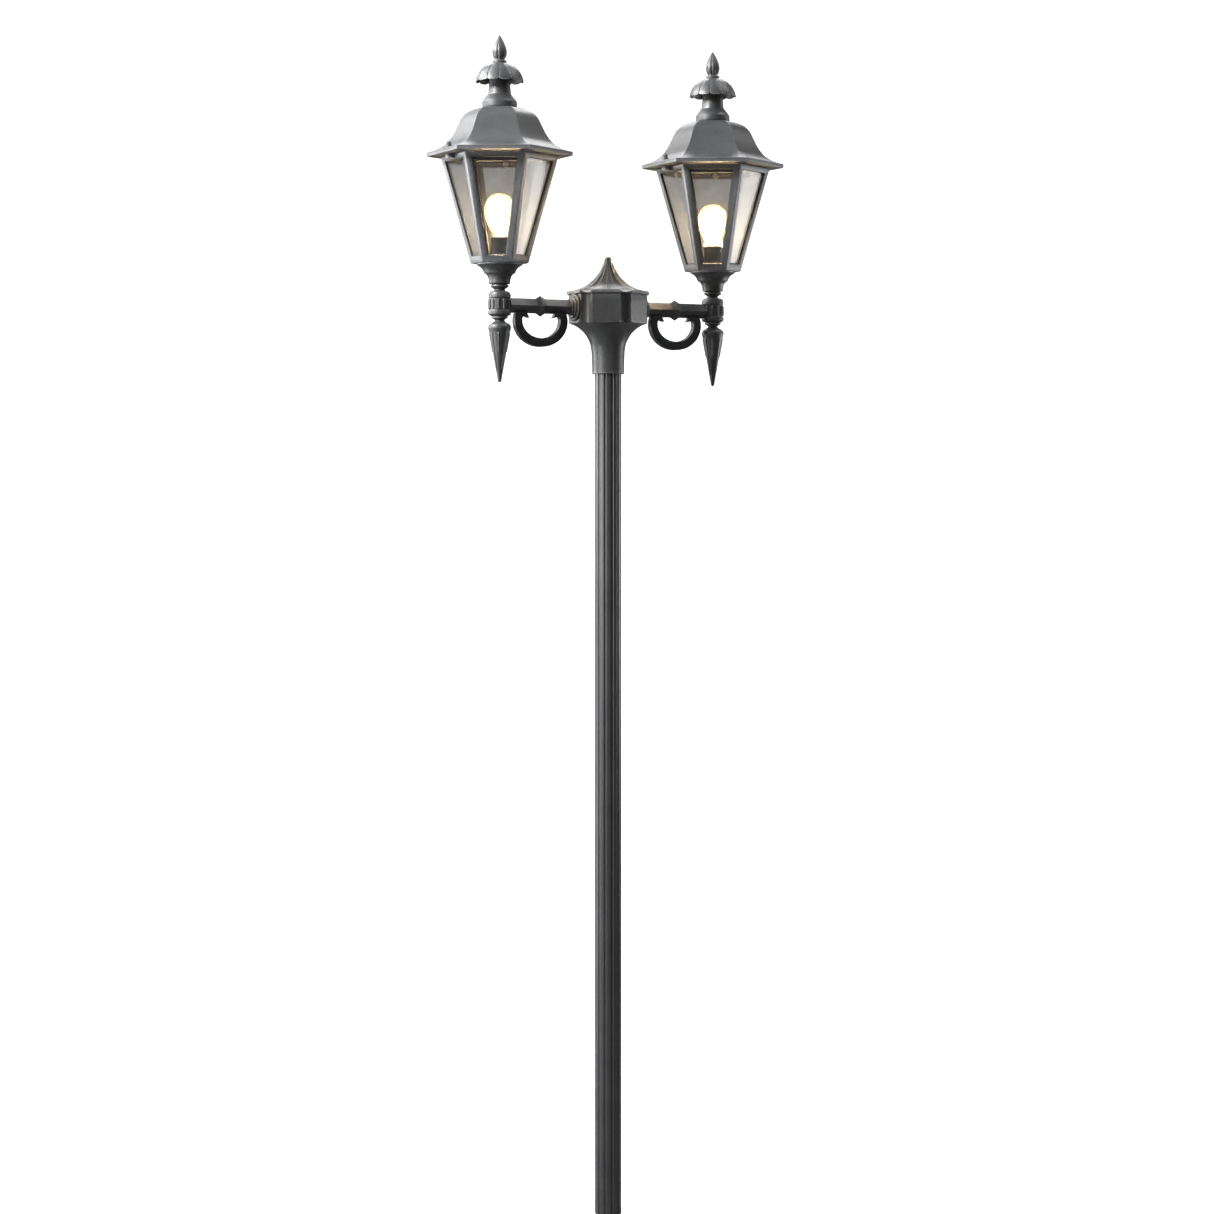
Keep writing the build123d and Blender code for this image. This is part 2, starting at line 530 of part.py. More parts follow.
def make_crown():
    out = [dome(CROWN_ARC, z) for z in (2283.6, 2282.8, 2280.1, 2276.0, 2271.8, 2266.6, 2260.0, 2254.0, 2247.0)]
    inn = [(r - 3.0, z - 1.6) for r, z in out[3:]]
    shell = rev(("l", [(0, 2256.0), (20.0, 2256.0), (20.0, 2268.0), inn[0]]), ("s", inn),
                ("l", [inn[-1], out[-1]]), ("s", list(reversed(out))),
                ("l", [out[0], (0, out[0][1]), (0, 2256.0)]))
    notch = cyl_x(4.0, 38.0, 55.0, 0, 2244.2)
    # a narrow groove between the lobes follows the dome
    flute = Pos(CROWN_AT[0], 0, CROWN_AT[1]) * Rot(90, 0, 0) * Torus(CROWN_ARC, 1.2)
    flute = flute & box(15.0, 60.0, -5, 5, 2236.0, 2290.0)
    for k in range(12):
        shell = shell - turn(notch, 30 * k) - turn(flute, 30 * k)
    return shell - cyl(3.1, 2250, 2290)


def make_top_finial():
    f = rev(("l", [(0, 2283.6), (13.2, 2283.6), (13.8, 2284.6), (13.8, 2288.0), (12.4, 2289.6), (9.6, 2290.8)]),
            ("s", [(9.6, 2290.8), (10.4, 2292.2), (12.2, 2295.2), (13.6, 2299.2), (14.2, 2303.8), (13.9, 2308.8),
                   (12.6, 2314.4), (10.3, 2320.6), (7.6, 2326.4), (4.8, 2332.0), (2.2, 2336.6), (0, 2339.0)]),
            ("l", [(0, 2339.0), (0, 2283.6)]))
    for k in range(8):
        cut = Pos(15.6, 0, 2308.0) * Rot(0, -6, 0) * Cylinder(2.6, 34.0)
        f = f - turn(cut, 45 * k)
    return f + cyl(3.0, 2184.0, 2284.0)


def make_roof_nut():
    n = Pos(0, 0, 2186.4) * extrude(RegularPolygon(7.5, 6), 5.5)
    return n - cyl(3.0 + GAP, 2180, 2195)


def make_hinge_pin():
    return cyl_y(2.0, -16.5, 15.4, HINGE_X, HINGE_Z) + cyl_y(3.4, 15.4, 17.4, HINGE_X, HINGE_Z)


def make_latch():
    s = cyl(2.0, 2093.0, 2099.0, LATCH_X) + cyl(2.35, 2099.0, LATCH_Z + 1.0, LATCH_X)
    head = cyl(4.8, LATCH_Z + 0.2, LATCH_Z + 5.6, LATCH_X) + cyl(3.4, LATCH_Z + 5.6, LATCH_Z + 7.2, LATCH_X)
    for k in range(12):
        a = math.radians(30 * k)
        head = head - cyl(0.8, LATCH_Z, LATCH_Z + 6, LATCH_X + 5.2 * math.cos(a), 5.2 * math.sin(a))
    return s + head


def make_set_screw():
    return cyl_x(2.0, 8.4, 20.8, 0, 1856.0) - cyl_x(1.0, 18.0, 22.0, 0, 1856.0)


# ---- assembly -----------------------------------------------------------
nodes = {
    "pole": pole,
    "hub_body": hub_body,
    "hub_cap": hub_cap,
    "hub_cap_screws": cap_screws,
    "collar_set_screws": collar_screws,
    "terminal_block": terminal_block,
    "terminal_screws": terminal_screws,
}

arm = make_arm()
arm_parts = {"arm": arm, "arm_scroll": make_scroll(), "arm_rosette": make_rosette(), "lamp_lead": make_lead()}
barrel = make_barrel()
cup = make_cup()
for k in range(3):
    cup = cup - turn(cyl(2.1, CUP_TOP - 6, CUP_TOP + 1, 37.5), 90 + 120 * k)
lantern = {
    "spacer_disc": make_spacer(), "stem_tube": make_stem(), "drop_finial": make_drop(), "lantern_frame": make_frame(),
    "glass_panes": make_panes(), "pane_clips": make_clips(), "lampholder": make_lampholder(), "bulb_cap": make_bulb_cap(),
    "bulb_glass": make_bulb_glass(), "bulb_filaments": make_filament(), "roof": make_roof(), "chimney": make_chimney(),
    "crown": make_crown(), "top_finial": make_top_finial(), "roof_nut": make_roof_nut(), "hinge_pin": make_hinge_pin(),
    "latch_screw": make_latch(),
}
shared = {"arm_locknuts": [], "cup_set_screws": [], "stem_nuts": [], "frame_screws": []}
for side, s in (("left", -1), ("right", 1)):
    for n, p in arm_parts.items():
        nodes[f"{side}_{n}"] = turn(p, 0 if s > 0 else 180)
    inboard = 180 if s > 0 else 0      # direction from the lantern to the pole
    here = Pos(s * ARM_X, 0, 0)
    nodes[f"{side}_holder_barrel"] = here * (barrel - turn(cyl_x(TENON_R + GAP, 12.0, 30.0, 0, ARM_Z), inboard))
    nodes[f"{side}_lantern_cup"] = here * (cup - turn(cyl_x(2.1, 7.0, 30.0, 0, 1856.0), inboard))
    for n, p in lantern.items():
        nodes[f"{side}_{n}"] = here * (turn(p, CROWN_TURN[side]) if n == "crown" else p)
    shared["arm_locknuts"].append(turn(make_locknut(), 0 if s > 0 else 180))
    shared["cup_set_screws"].append(here * turn(make_set_screw(), inboard))
    shared["stem_nuts"].append(here * make_stem_nut())
    shared["frame_screws"].append(here * make_cup_screws())
for n, parts in shared.items():
    nodes[n] = group(parts)

for name, shape in nodes.items():
    export_step(shape, f"parts/{name}.step")
print(len(nodes), "nodes")
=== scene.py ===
import bpy
import math
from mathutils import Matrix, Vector


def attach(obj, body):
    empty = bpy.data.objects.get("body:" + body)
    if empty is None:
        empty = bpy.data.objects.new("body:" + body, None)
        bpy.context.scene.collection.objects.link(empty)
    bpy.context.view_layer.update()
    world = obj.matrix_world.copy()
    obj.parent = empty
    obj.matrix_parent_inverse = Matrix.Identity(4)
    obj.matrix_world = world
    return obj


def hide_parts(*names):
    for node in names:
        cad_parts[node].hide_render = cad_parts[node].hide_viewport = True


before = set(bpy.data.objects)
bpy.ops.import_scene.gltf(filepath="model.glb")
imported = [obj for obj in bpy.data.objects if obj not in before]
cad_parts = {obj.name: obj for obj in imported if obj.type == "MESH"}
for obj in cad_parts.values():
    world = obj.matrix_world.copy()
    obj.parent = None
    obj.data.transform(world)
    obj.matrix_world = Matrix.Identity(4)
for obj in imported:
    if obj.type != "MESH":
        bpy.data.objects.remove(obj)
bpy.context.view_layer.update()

AX = 238.6                    # pole axis to lantern axis, mm
MM = 0.001
scene = bpy.context.scene
rad = math.radians

# ------------------------------------------------------------------ camera
AZ = rad(-26.8)
DIST = 5.8
cam_data = bpy.data.cameras.new("view")
cam = bpy.data.objects.new("view", cam_data)
scene.collection.objects.link(cam)
cam.location = (math.sin(AZ) * DIST, -math.cos(AZ) * DIST, 1.442)
cam.rotation_euler = (rad(90), 0, AZ)
cam_data.sensor_width = 36.0
cam_data.lens = 86.0
cam_data.shift_x = -0.0009
cam_data.shift_y = -0.0947
cam_data.clip_end = 100
scene.camera = cam

scene.view_settings.view_transform = "Standard"
scene.view_settings.look = "None"


# --------------------------------------------------------------- materials
def new_mat(name):
    m = bpy.data.materials.new(name)
    m.use_nodes = True
    nt = m.node_tree
    return m, nt, nt.nodes["Principled BSDF"]


def node(nt, kind, **values):
    n = nt.nodes.new(kind)
    for k, v in values.items():
        if k in n.inputs:
            n.inputs[k].default_value = v
        else:
            setattr(n, k, v)
    return n


def noise(nt, scale, detail=2.0, rough=0.5, coords=None):
    n = nt.nodes.new("ShaderNodeTexNoise")
    n.inputs["Scale"].default_value = scale
    n.inputs["Detail"].default_value = detail
    n.inputs["Roughness"].default_value = rough
    c = coords or nt.nodes.new("ShaderNodeTexCoord").outputs["Object"]
    nt.links.new(c, n.inputs["Vector"])
    return n.outputs["Fac"]


def ramp(nt, src, stops):
    r = nt.nodes.new("ShaderNodeValToRGB")
    el = r.color_ramp.elements
    while len(el) < len(stops):
        el.new(0.5)
    for e, (p, c) in zip(el, stops):
        e.position = p
        e.color = c if len(c) == 4 else (*c, 1.0)
    nt.links.new(src, r.inputs["Fac"])
    return r.outputs["Color"]


def map_range(nt, src, a, b, c, d):
    n = nt.nodes.new("ShaderNodeMapRange")
    n.inputs["From Min"].default_value = a
    n.inputs["From Max"].default_value = b
    n.inputs["To Min"].default_value = c
    n.inputs["To Max"].default_value = d
    nt.links.new(src, n.inputs["Value"])
    return n.outputs["Result"]


def mix_col(nt, fac, a, b, mode="MIX"):
    n = nt.nodes.new("ShaderNodeMix")
    n.data_type = "RGBA"
    n.blend_type = mode
    for s, v in ((n.inputs[0], fac), (n.inputs[6], a), (n.inputs[7], b)):
        if hasattr(v, "default_value") or isinstance(v, bpy.types.NodeSocket):
            nt.links.new(v, s)
        else:
            s.default_value = v if isinstance(v, (int, float)) else ((*v, 1.0) if len(v) == 3 else v)
    return n.outputs[2]


def bump(nt, height, strength, distance, normal=None):
    b = nt.nodes.new("ShaderNodeBump")
    b.inputs["Strength"].default_value = strength
    b.inputs["Distance"].default_value = distance
    nt.links.new(height, b.inputs["Height"])
    if normal is not None:
        nt.links.new(normal, b.inputs["Normal"])
    return b.outputs["Normal"]


def coat(name, base, rub_highlight_lift=1.0, rough=0.5, edge=0.5, specular=0.5):
    """Fine-textured powder coat on castings: a mottled anthracite, a grain that feels like fine sand,
    the slow unevenness of the casting under it, and paler edges that are partly rubbed wear and partly a painted
    highlight where light catches the ridges."""
    m, nt, p = new_mat(name)
    co = nt.nodes.new("ShaderNodeTexCoord").outputs["Object"]
    big = noise(nt, 14.0, 3.0, 0.55, co)
    mid = noise(nt, 190.0, 3.0, 0.55, co)
    grain = noise(nt, 950.0, 2.0, 0.6, co)
    dark = tuple(c * 0.80 for c in base)
    light = tuple(min(1, c * 1.28) for c in base)
    c1 = ramp(nt, big, [(0.32, dark), (0.68, light)])
    c2 = mix_col(nt, map_range(nt, mid, 0.35, 0.7, 0.0, 0.35), c1, tuple(c * 1.5 for c in base))
    speck = ramp(nt, grain, [(0.36, (0.62, 0.62, 0.62)), (0.60, (1.0, 1.0, 1.0)), (0.74, (1.45, 1.45, 1.45))])
    c3 = mix_col(nt, 1.0, c2, speck, "MULTIPLY")
    # paler convex edges by pointiness: partly rubbed wear, partly a painted highlight for light caught on the rounded
    # ridges
    point = nt.nodes.new("ShaderNodeNewGeometry").outputs["Pointiness"]
    rub_and_highlight = map_range(nt, point, 0.512, 0.57, 0.0, edge)
    rub_and_highlight_mottled = mix_col(nt, 1.0, rub_and_highlight, map_range(nt, mid, 0.3, 0.6, 0.55, 1.0), "MULTIPLY")
    c4 = mix_col(nt, rub_and_highlight_mottled, c3, tuple(min(1, c * 5.0 * rub_highlight_lift) for c in base))
    nt.links.new(c4, p.inputs["Base Color"])
    r1 = map_range(nt, mid, 0.3, 0.7, rough - 0.05, rough + 0.07)
    nt.links.new(r1, p.inputs["Roughness"])
    p.inputs["Specular IOR Level"].default_value = specular
    p.inputs["Metallic"].default_value = 0.0
    n1 = bump(nt, mid, 0.22, 0.0006)
    n2 = bump(nt, grain, 0.35, 0.00022, n1)
    nt.links.new(n2, p.inputs["Normal"])
    return m


def metal(name, base, rough, scale=500.0, stretch=(1, 1, 1)):
    m, nt, p = new_mat(name)
    co = nt.nodes.new("ShaderNodeTexCoord").outputs["Object"]
    mp = nt.nodes.new("ShaderNodeMapping")
    mp.inputs["Scale"].default_value = stretch
    nt.links.new(co, mp.inputs["Vector"])
    n = noise(nt, scale, 3.0, 0.6, mp.outputs["Vector"])
    nt.links.new(ramp(nt, n, [(0.3, tuple(c * 0.75 for c in base)), (0.7, tuple(min(1, c * 1.1) for c in base))]), p.inputs["Base Color"])
    nt.links.new(map_range(nt, n, 0.3, 0.7, rough - 0.08, rough + 0.12), p.inputs["Roughness"])
    p.inputs["Metallic"].default_value = 1.0
    nt.links.new(bump(nt, n, 0.2, 0.0001), p.inputs["Normal"])
    return m


def plastic(name, base, rough, grain_scale=700.0):
    m, nt, p = new_mat(name)
    co = nt.nodes.new("ShaderNodeTexCoord").outputs["Object"]
    big, g = noise(nt, 30.0, 2.0, 0.5, co), noise(nt, grain_scale, 2.0, 0.55, co)
    nt.links.new(ramp(nt, big, [(0.3, tuple(c * 0.8 for c in base)), (0.7, tuple(min(1, c * 1.2) for c in base))]), p.inputs["Base Color"])
    nt.links.new(map_range(nt, g, 0.3, 0.7, rough - 0.06, rough + 0.08), p.inputs["Roughness"])
    nt.links.new(bump(nt, g, 0.25, 0.00015), p.inputs["Normal"])
    return m


BASE = (0.026, 0.0268, 0.0282)
M_COAT = coat("powder_coat", BASE, 1.3, 0.43, 0.75)
# painted light: a paler copy of the same powder coat for the roofs, hub cap, chimneys, crowns and finials, lighter
# because they face up into the light
M_ROOF_PAINTED_LIGHT = coat("powder_coat_roof", tuple(c * 1.3 for c in BASE), 1.2, 0.43, 0.7)
M_POLE = coat("powder_coat_pole", tuple(c * 1.0 for c in BASE), 1.0, 0.40, 0.35)
# painted shade: a darker copy of the same powder coat for the arm bars, darkening them as if in shade
M_ARM_PAINTED_SHADE = coat("powder_coat_arm", tuple(c * 0.85 for c in BASE), 1.1, 0.43, 0.5)
# painted shade: a much darker copy of the same powder coat for the scroll rings and the crown hollows, standing in
# for the shade they lie in; the grub screws take it as their own dark colour
M_DARK_PAINTED_SHADE = coat("powder_coat_shaded", tuple(c * 0.38 for c in BASE), 1.2, 0.45, 0.3, 0.38)
M_STEEL = metal("zinc_plate", (0.55, 0.56, 0.58), 0.38)
M_CAPMETAL = metal("rolled_aluminium", (0.8, 0.79, 0.75), 0.30, 300.0, (1, 1, 8))
M_HOLDER = plastic("black_phenolic", (0.018, 0.018, 0.019), 0.42)
M_TERMINAL = plastic("terminal_nylon", (0.62, 0.60, 0.54), 0.5)
M_LEAD = plastic("rubber_sheath", (0.016, 0.016, 0.016), 0.6, 400.0)


def pane_mat():
    """Clear float glass, faintly grey, with a haze of dust that thickens in patches."""
    m, nt, p = new_mat("clear_pane")
    co = nt.nodes.new("ShaderNodeTexCoord").outputs["Object"]
    haze = noise(nt, 22.0, 5.0, 0.6, co)
    fine = noise(nt, 420.0, 2.0, 0.6, co)
    nt.links.new(ramp(nt, haze, [(0.3, (0.030, 0.032, 0.035)), (0.7, (0.060, 0.064, 0.068))]), p.inputs["Base Color"])
    a = map_range(nt, haze, 0.3, 0.75, 0.36, 0.48)
    nt.links.new(a, p.inputs["Alpha"])
    nt.links.new(map_range(nt, fine, 0.3, 0.7, 0.03, 0.09), p.inputs["Roughness"])
    p.inputs["IOR"].default_value = 1.5
    p.inputs["Specular IOR Level"].default_value = 0.85
    return m


def bulb_mat():
    """Thin clear bulb glass filled with the filaments' light: amber where it is seen edge on, near white in front."""
    m, nt, p = new_mat("bulb_clear")
    lw = nt.nodes.new("ShaderNodeLayerWeight")
    lw.inputs["Blend"].default_value = 0.45
    co = nt.nodes.new("ShaderNodeTexCoord").outputs["Object"]
    n = noise(nt, 60.0, 3.0, 0.6, co)
    warm = ramp(nt, lw.outputs["Facing"], [(0.15, (1.0, 0.88, 0.60)), (0.55, (1.0, 0.72, 0.36)), (0.95, (0.85, 0.50, 0.18))])
    nt.links.new(mix_col(nt, map_range(nt, n, 0.3, 0.7, 0.0, 0.25), warm, (1.0, 0.93, 0.75)), p.inputs["Emission Color"])
    p.inputs["Emission Strength"].default_value = 0.75
    p.inputs["Base Color"].default_value = (0.5, 0.40, 0.26, 1)
    nt.links.new(map_range(nt, lw.outputs["Facing"], 0.1, 0.9, 0.30, 0.9), p.inputs["Alpha"])
    nt.links.new(map_range(nt, n, 0.3, 0.7, 0.03, 0.08), p.inputs["Roughness"])
    p.inputs["Specular IOR Level"].default_value = 0.9
    return m


def filament_mat():
    m, nt, p = new_mat("glowing_filament")
    co = nt.nodes.new("ShaderNodeTexCoord").outputs["Object"]
    n = noise(nt, 900.0, 2.0, 0.5, co)
    nt.links.new(ramp(nt, n, [(0.3, (1.0, 0.72, 0.30)), (0.7, (1.0, 0.86, 0.55))]), p.inputs["Emission Color"])
    nt.links.new(ramp(nt, n, [(0.3, (0.9, 0.6, 0.2)), (0.7, (1.0, 0.8, 0.4))]), p.inputs["Base Color"])
    p.inputs["Emission Strength"].default_value = 8.0
    return m


M_PANE, M_BULB, M_FIL = pane_mat(), bulb_mat(), filament_mat()


# ---------------------------------------------------------------- geometry
def catmull(pts, per=6):
    """Smooth line through the points, per points to a span."""
    out = []
    n = len(pts)
    for i in range(n - 1):
        p0, p1, p2, p3 = pts[max(i - 1, 0)], pts[i], pts[i + 1], pts[min(i + 2, n - 1)]
        for j in range(per):
            t = j / per
            out.append(tuple(0.5 * (2 * b + (c - a) * t + (2 * a - 5 * b + 4 * c - d) * t * t + (3 * b - a - 3 * c + d) * t ** 3)
                             for a, b, c, d in zip(p0, p1, p2, p3)))
    out.append(tuple(pts[-1]))
    return out


def fillet(pts, r, segs=3, least=18.0, closed=False):
    """The line with each sharp corner rounded."""
    out = []
    n = len(pts)
    for i, p in enumerate(pts):
        if not closed and i in (0, n - 1):
            out.append(tuple(p))
            continue
        a, b = Vector(pts[i - 1]), Vector(pts[(i + 1) % n])
        v = Vector(p)
        u, w = (a - v), (b - v)
        if u.length < 1e-6 or w.length < 1e-6:
            out.append(tuple(p))
            continue
        turn = math.degrees((-u).angle(w))
        if turn < least:
            out.append(tuple(p))
            continue
        d = min(r * math.tan(rad(turn) / 2), u.length * 0.45, w.length * 0.45)
        s, e = v + u.normalized() * d, v + w.normalized() * d
        for j in range(segs + 1):
            t = j / segs
            out.append(tuple(s * (1 - t) ** 2 + v * 2 * t * (1 - t) + e * t * t))
    return out


def rows_to_mesh(rows, closed_rows=False, closed_u=True):
    """Quads between rows of points; a row of one point makes a fan."""
    verts, faces, start = [], [], []
    for r in rows:
        start.append(len(verts))
        verts.extend(r)
    pairs = list(zip(range(len(rows) - 1), range(1, len(rows))))
    if closed_rows:
        pairs.append((len(rows) - 1, 0))
    for i, j in pairs:
        a, b = rows[i], rows[j]
        m = max(len(a), len(b))
        last = m if closed_u else m - 1
        for k in range(last):
            k2 = (k + 1) % m
            if len(a) == 1 and len(b) == 1:
                continue
            if len(a) == 1:
                faces.append((start[i], start[j] + k2, start[j] + k))
            elif len(b) == 1:
                faces.append((start[i] + k, start[i] + k2, start[j]))
            else:
                faces.append((start[i] + k, start[i] + k2, start[j] + k2, start[j] + k))
    return verts, faces


def lathe(profile, n=96, rfun=None, zfun=None, angles=None):
    """Surface round Z. profile runs (r, z); rfun(theta, r, z) changes the radius."""
    th = angles or [2 * math.pi * k / n for k in range(n)]
    rows = []
    for r, z in profile:
        if r < 1e-5:
            rows.append([(0, 0, z)])
            continue
        row = []
        for t in th:
            rr = rfun(t, r, z) if rfun else r
            zz = zfun(t, r, z) if zfun else z
            row.append((rr * math.cos(t), rr * math.sin(t), zz))
        rows.append(row)
    return rows_to_mesh(rows)


def merge(*meshes):
    v, f = [], []
    for mv, mf in meshes:
        k = len(v)
        v.extend(mv)
        f.extend([tuple(i + k for i in face) for face in mf])
    return v, f


def rotz(mesh, deg):
    c, s = math.cos(rad(deg)), math.sin(rad(deg))
    return [(x * c - y * s, x * s + y * c, z) for x, y, z in mesh[0]], mesh[1]


def shift(mesh, dx=0.0, dy=0.0, dz=0.0):
    return [(x + dx, y + dy, z + dz) for x, y, z in mesh[0]], mesh[1]


def along_x(mesh, z=0.0):
    """A mesh made round Z laid along X, its old Z becoming X, its axis at height z."""
    return [(zz, y, -x + z) for x, y, zz in mesh[0]], mesh[1]


def along_y(mesh, x0=0.0, z0=0.0):
    return [(x + x0, zz, -y + z0) for x, y, zz in mesh[0]], mesh[1]


def prism(pts, y0, y1):
    """XZ outline pushed along Y."""
    n = len(pts)
    v = [(x, y0, z) for x, z in pts] + [(x, y1, z) for x, z in pts]
    f = [tuple(range(n)), tuple(range(2 * n - 1, n - 1, -1))]
    f += [(k, n + k, n + (k + 1) % n, (k + 1) % n) for k in range(n)]
    return v, f


made = []


def put(name, mesh, mat, body, nodes=(), sharp=32.0, bevel=0.0, segs=2, subd=0, limit=30.0):
    me = bpy.data.meshes.new(name)
    me.from_pydata([(x * MM, y * MM, z * MM) for x, y, z in mesh[0]], [], mesh[1])
    me.validate()
    import bmesh
    bm = bmesh.new()
    bm.from_mesh(me)
    bmesh.ops.remove_doubles(bm, verts=bm.verts, dist=1e-6)
    bmesh.ops.recalc_face_normals(bm, faces=bm.faces)
    bm.to_mesh(me)
    bm.free()
    me.shade_smooth()
    me.materials.append(mat)
    o = bpy.data.objects.new(name, me)
    scene.collection.objects.link(o)
    if bevel:
        b = o.modifiers.new("edge", "BEVEL")
        b.width = bevel * MM
        b.segments = segs
        b.limit_method = "ANGLE"
        b.angle_limit = rad(limit)
        b.harden_normals = False
        b.miter_outer = "MITER_ARC"
    if subd:
        s = o.modifiers.new("smooth", "SUBSURF")
        s.levels = s.render_levels = subd
    if bevel or subd:
        dg = bpy.context.evaluated_depsgraph_get()
        done = bpy.data.meshes.new_from_object(o.evaluated_get(dg))
        o.modifiers.clear()
        o.data = done
        me = done
        me.shade_smooth()
    me.set_sharp_from_angle(angle=rad(sharp))
    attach(o, body)
    if nodes:
        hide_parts(*nodes)
    made.append(o)
    return o


# -------------------------------------------------------------------- pole
def pole_radius(t, r, z):
    """Twelve shallow round flutes with broad lands between."""
    d = (math.degrees(t) - 21.0 + 15.0) % 30.0 - 15.0
    rc, at = 4.2, 28.9
    lo = at * math.sin(rad(abs(d)))
    cut = at * math.cos(rad(d)) - math.sqrt(rc * rc - lo * lo) if lo < rc else 1e9
    # softened where the flute meets the land
    k = 0.12
    h = max(0.0, min(1.0, 0.5 + 0.5 * (cut - 26.5) / k))
    soft = min(26.5, cut) if abs(cut - 26.5) > k else 26.5 * h + cut * (1 - h) - k * h * (1 - h)
    return soft - (26.5 - r)


flute_half = [0, 1.2, 2.4, 3.6, 4.8, 5.8, 6.5, 6.9, 7.2, 7.5, 8.0, 9.0, 11.0, 13.0, 15.0]
one = sorted({-d for d in flute_half} | set(flute_half))[1:]
POLE_ANG = [rad(21.0 + 30 * k + d) for k in range(12) for d in one]
th = POLE_ANG
rows = []
for r, z in [(22.5, 1736), (22.5, 0.0), (24.2, 0.0)]:
    rows.append([(r * math.cos(t), r * math.sin(t), z) for t in th])
for dr, z in [(-0.5, 0.0), (-0.15, 0.15), (0.0, 0.5)] + [(0.0, z) for z in range(60, 1740, 120)] + [(0.0, 1736)]:
    rows.append([((pole_radius(t, 26.5, z) + dr) * math.cos(t), (pole_radius(t, 26.5, z) + dr) * math.sin(t), z) for t in th])
put("pole_tube", rows_to_mesh(rows), M_POLE, "post", ["pole"], sharp=40)


# --------------------------------------------------------------------- hub
HALF = [0, 0.5, 1.0, 1.8, 3.2, 6, 9, 12, 15, 17.5, 19.0, 19.8, 20.15, 20.4, 20.65, 21.0, 21.8, 23.2, 25, 27, 28.6, 30]
DELTAS = sorted({-d for d in HALF} | set(HALF))[1:]
HUB_ANG = [(60 * k + d, d) for k in range(6) for d in DELTAS]


def hub_r(d):
    a = abs(d)
    if a <= 20.4:
        return 74.0 / math.cos(rad(a))
    u = (a - 20.4) / 9.6
    return 78.94 - 7.2 * math.sin(math.pi / 2 * u) ** 0.75


TRUMPET = catmull([(32.0, 1690.0), (32.3, 1698.4), (33.0, 1717.6), (34.2, 1729.0), (36.0, 1738.0), (39.8, 1747.0), (45.0, 1756.0),
                   (51.4, 1763.4), (59.0, 1769.8), (66.6, 1774.6), (74.0, 1777.4), (80.0, 1779.4)], 8)


def trumpet_z(r):
    for (r0, z0), (r1, z1) in zip(TRUMPET, TRUMPET[1:]):
        if r0 <= r <= r1:
            return z0 + (z1 - z0) * (r - r0) / max(r1 - r0, 1e-9)
    return TRUMPET[-1][1]


def trumpet_r(z):
    for (r0, z0), (r1, z1) in zip(TRUMPET, TRUMPET[1:]):
        if z0 <= z <= z1:
            return r0 + (r1 - r0) * (z - z0) / max(z1 - z0, 1e-9)
    return TRUMPET[0][0] if z < TRUMPET[0][1] else TRUMPET[-1][0]


def hub_rows():
    rows = []
    ang = [rad(a) for a, _ in HUB_ANG]
    for r, z in [(26.6, 1737.5), (26.6, 1678.6), (27.0, 1678.0), (31.2, 1678.0), (31.7, 1678.2), (32.0, 1678.8), (32.0, 1684.0), (32.0, 1690.0)]:
        rows.append([(r * math.cos(t), r * math.sin(t), z) for t in ang])
    n = 46
    for i in range(1, n + 1):
        row = []
        for (a, d), t in zip(HUB_ANG, ang):
            zs = trumpet_z(hub_r(d) - 0.5)
            u = i / n
            rs = hub_r(d) - 0.5
            # even steps of arc: more of them where the trumpet opens
            z = 1690.0 + (zs - 1690.0) * (1 - (1 - u) ** 1.7)
            r = min(trumpet_r(z), rs)
            if i == n:
                r, z = rs, zs
            row.append((r * math.cos(t), r * math.sin(t), z))
        rows.append(row)
    for dr, dz in [(-0.15, 0.5), (0.0, 1.1), (0.0, 3.0)]:
        rows.append([((hub_r(d) + dr) * math.cos(t), (hub_r(d) + dr) * math.sin(t), trumpet_z(hub_r(d) - 0.5) + dz) for (a, d), t in zip(HUB_ANG, ang)])
    for z, dr in [(1800, 0), (1818, 0), (1834.6, 0.0), (1835.6, -0.3), (1836.0, -1.2), (1836.0, -12.0)]:
        rows.append([((hub_r(d) + dr) * math.cos(t), (hub_r(d) + dr) * math.sin(t), z) for (a, d), t in zip(HUB_ANG, ang)])
    return rows


put("hub_casting", rows_to_mesh(hub_rows()), M_COAT, "post", ["hub_body"], sharp=24)


def cap_f(d, w):
    """Shape of the cap's outline: 1 on the ridges, hollow between them, less on the wide panels than on the narrow
    ones, with a fine rib down the middle of each wide one. w fades it to round at the tip."""
    a = abs(d)
    if a <= 20.4:
        flat = math.cos(rad(20.4)) / math.cos(rad(a))
        f = flat - 0.012 * math.sin(math.pi * min(1.0, (20.4 - a) / 6.0) / 2) + 0.016 * math.exp(-(a / 0.8) ** 2)
    else:
        u = (a - 20.4) / 9.6
        f = 1.0 - 0.125 * math.sin(math.pi / 2 * u) ** 0.7
    return f * (1 - w) + w


def channel(d):
    """1 at the bottom of the narrow channel, 0 on the wide panel."""
    a = abs(d)
    return math.sin(math.pi / 2 * (a - 20.4) / 9.6) ** 0.7 if a > 20.4 else 0.0


CAP = catmull([(80.6, 1842.6), (74.6, 1843.5), (62.6, 1846.8), (50.2, 1851.6), (39.4, 1858.3), (30.1, 1866.5), (22.0, 1875.8), (15.1, 1887.3),
               (10.3, 1897.0), (8.0, 1904.0), (6.9, 1908.0)], 6)


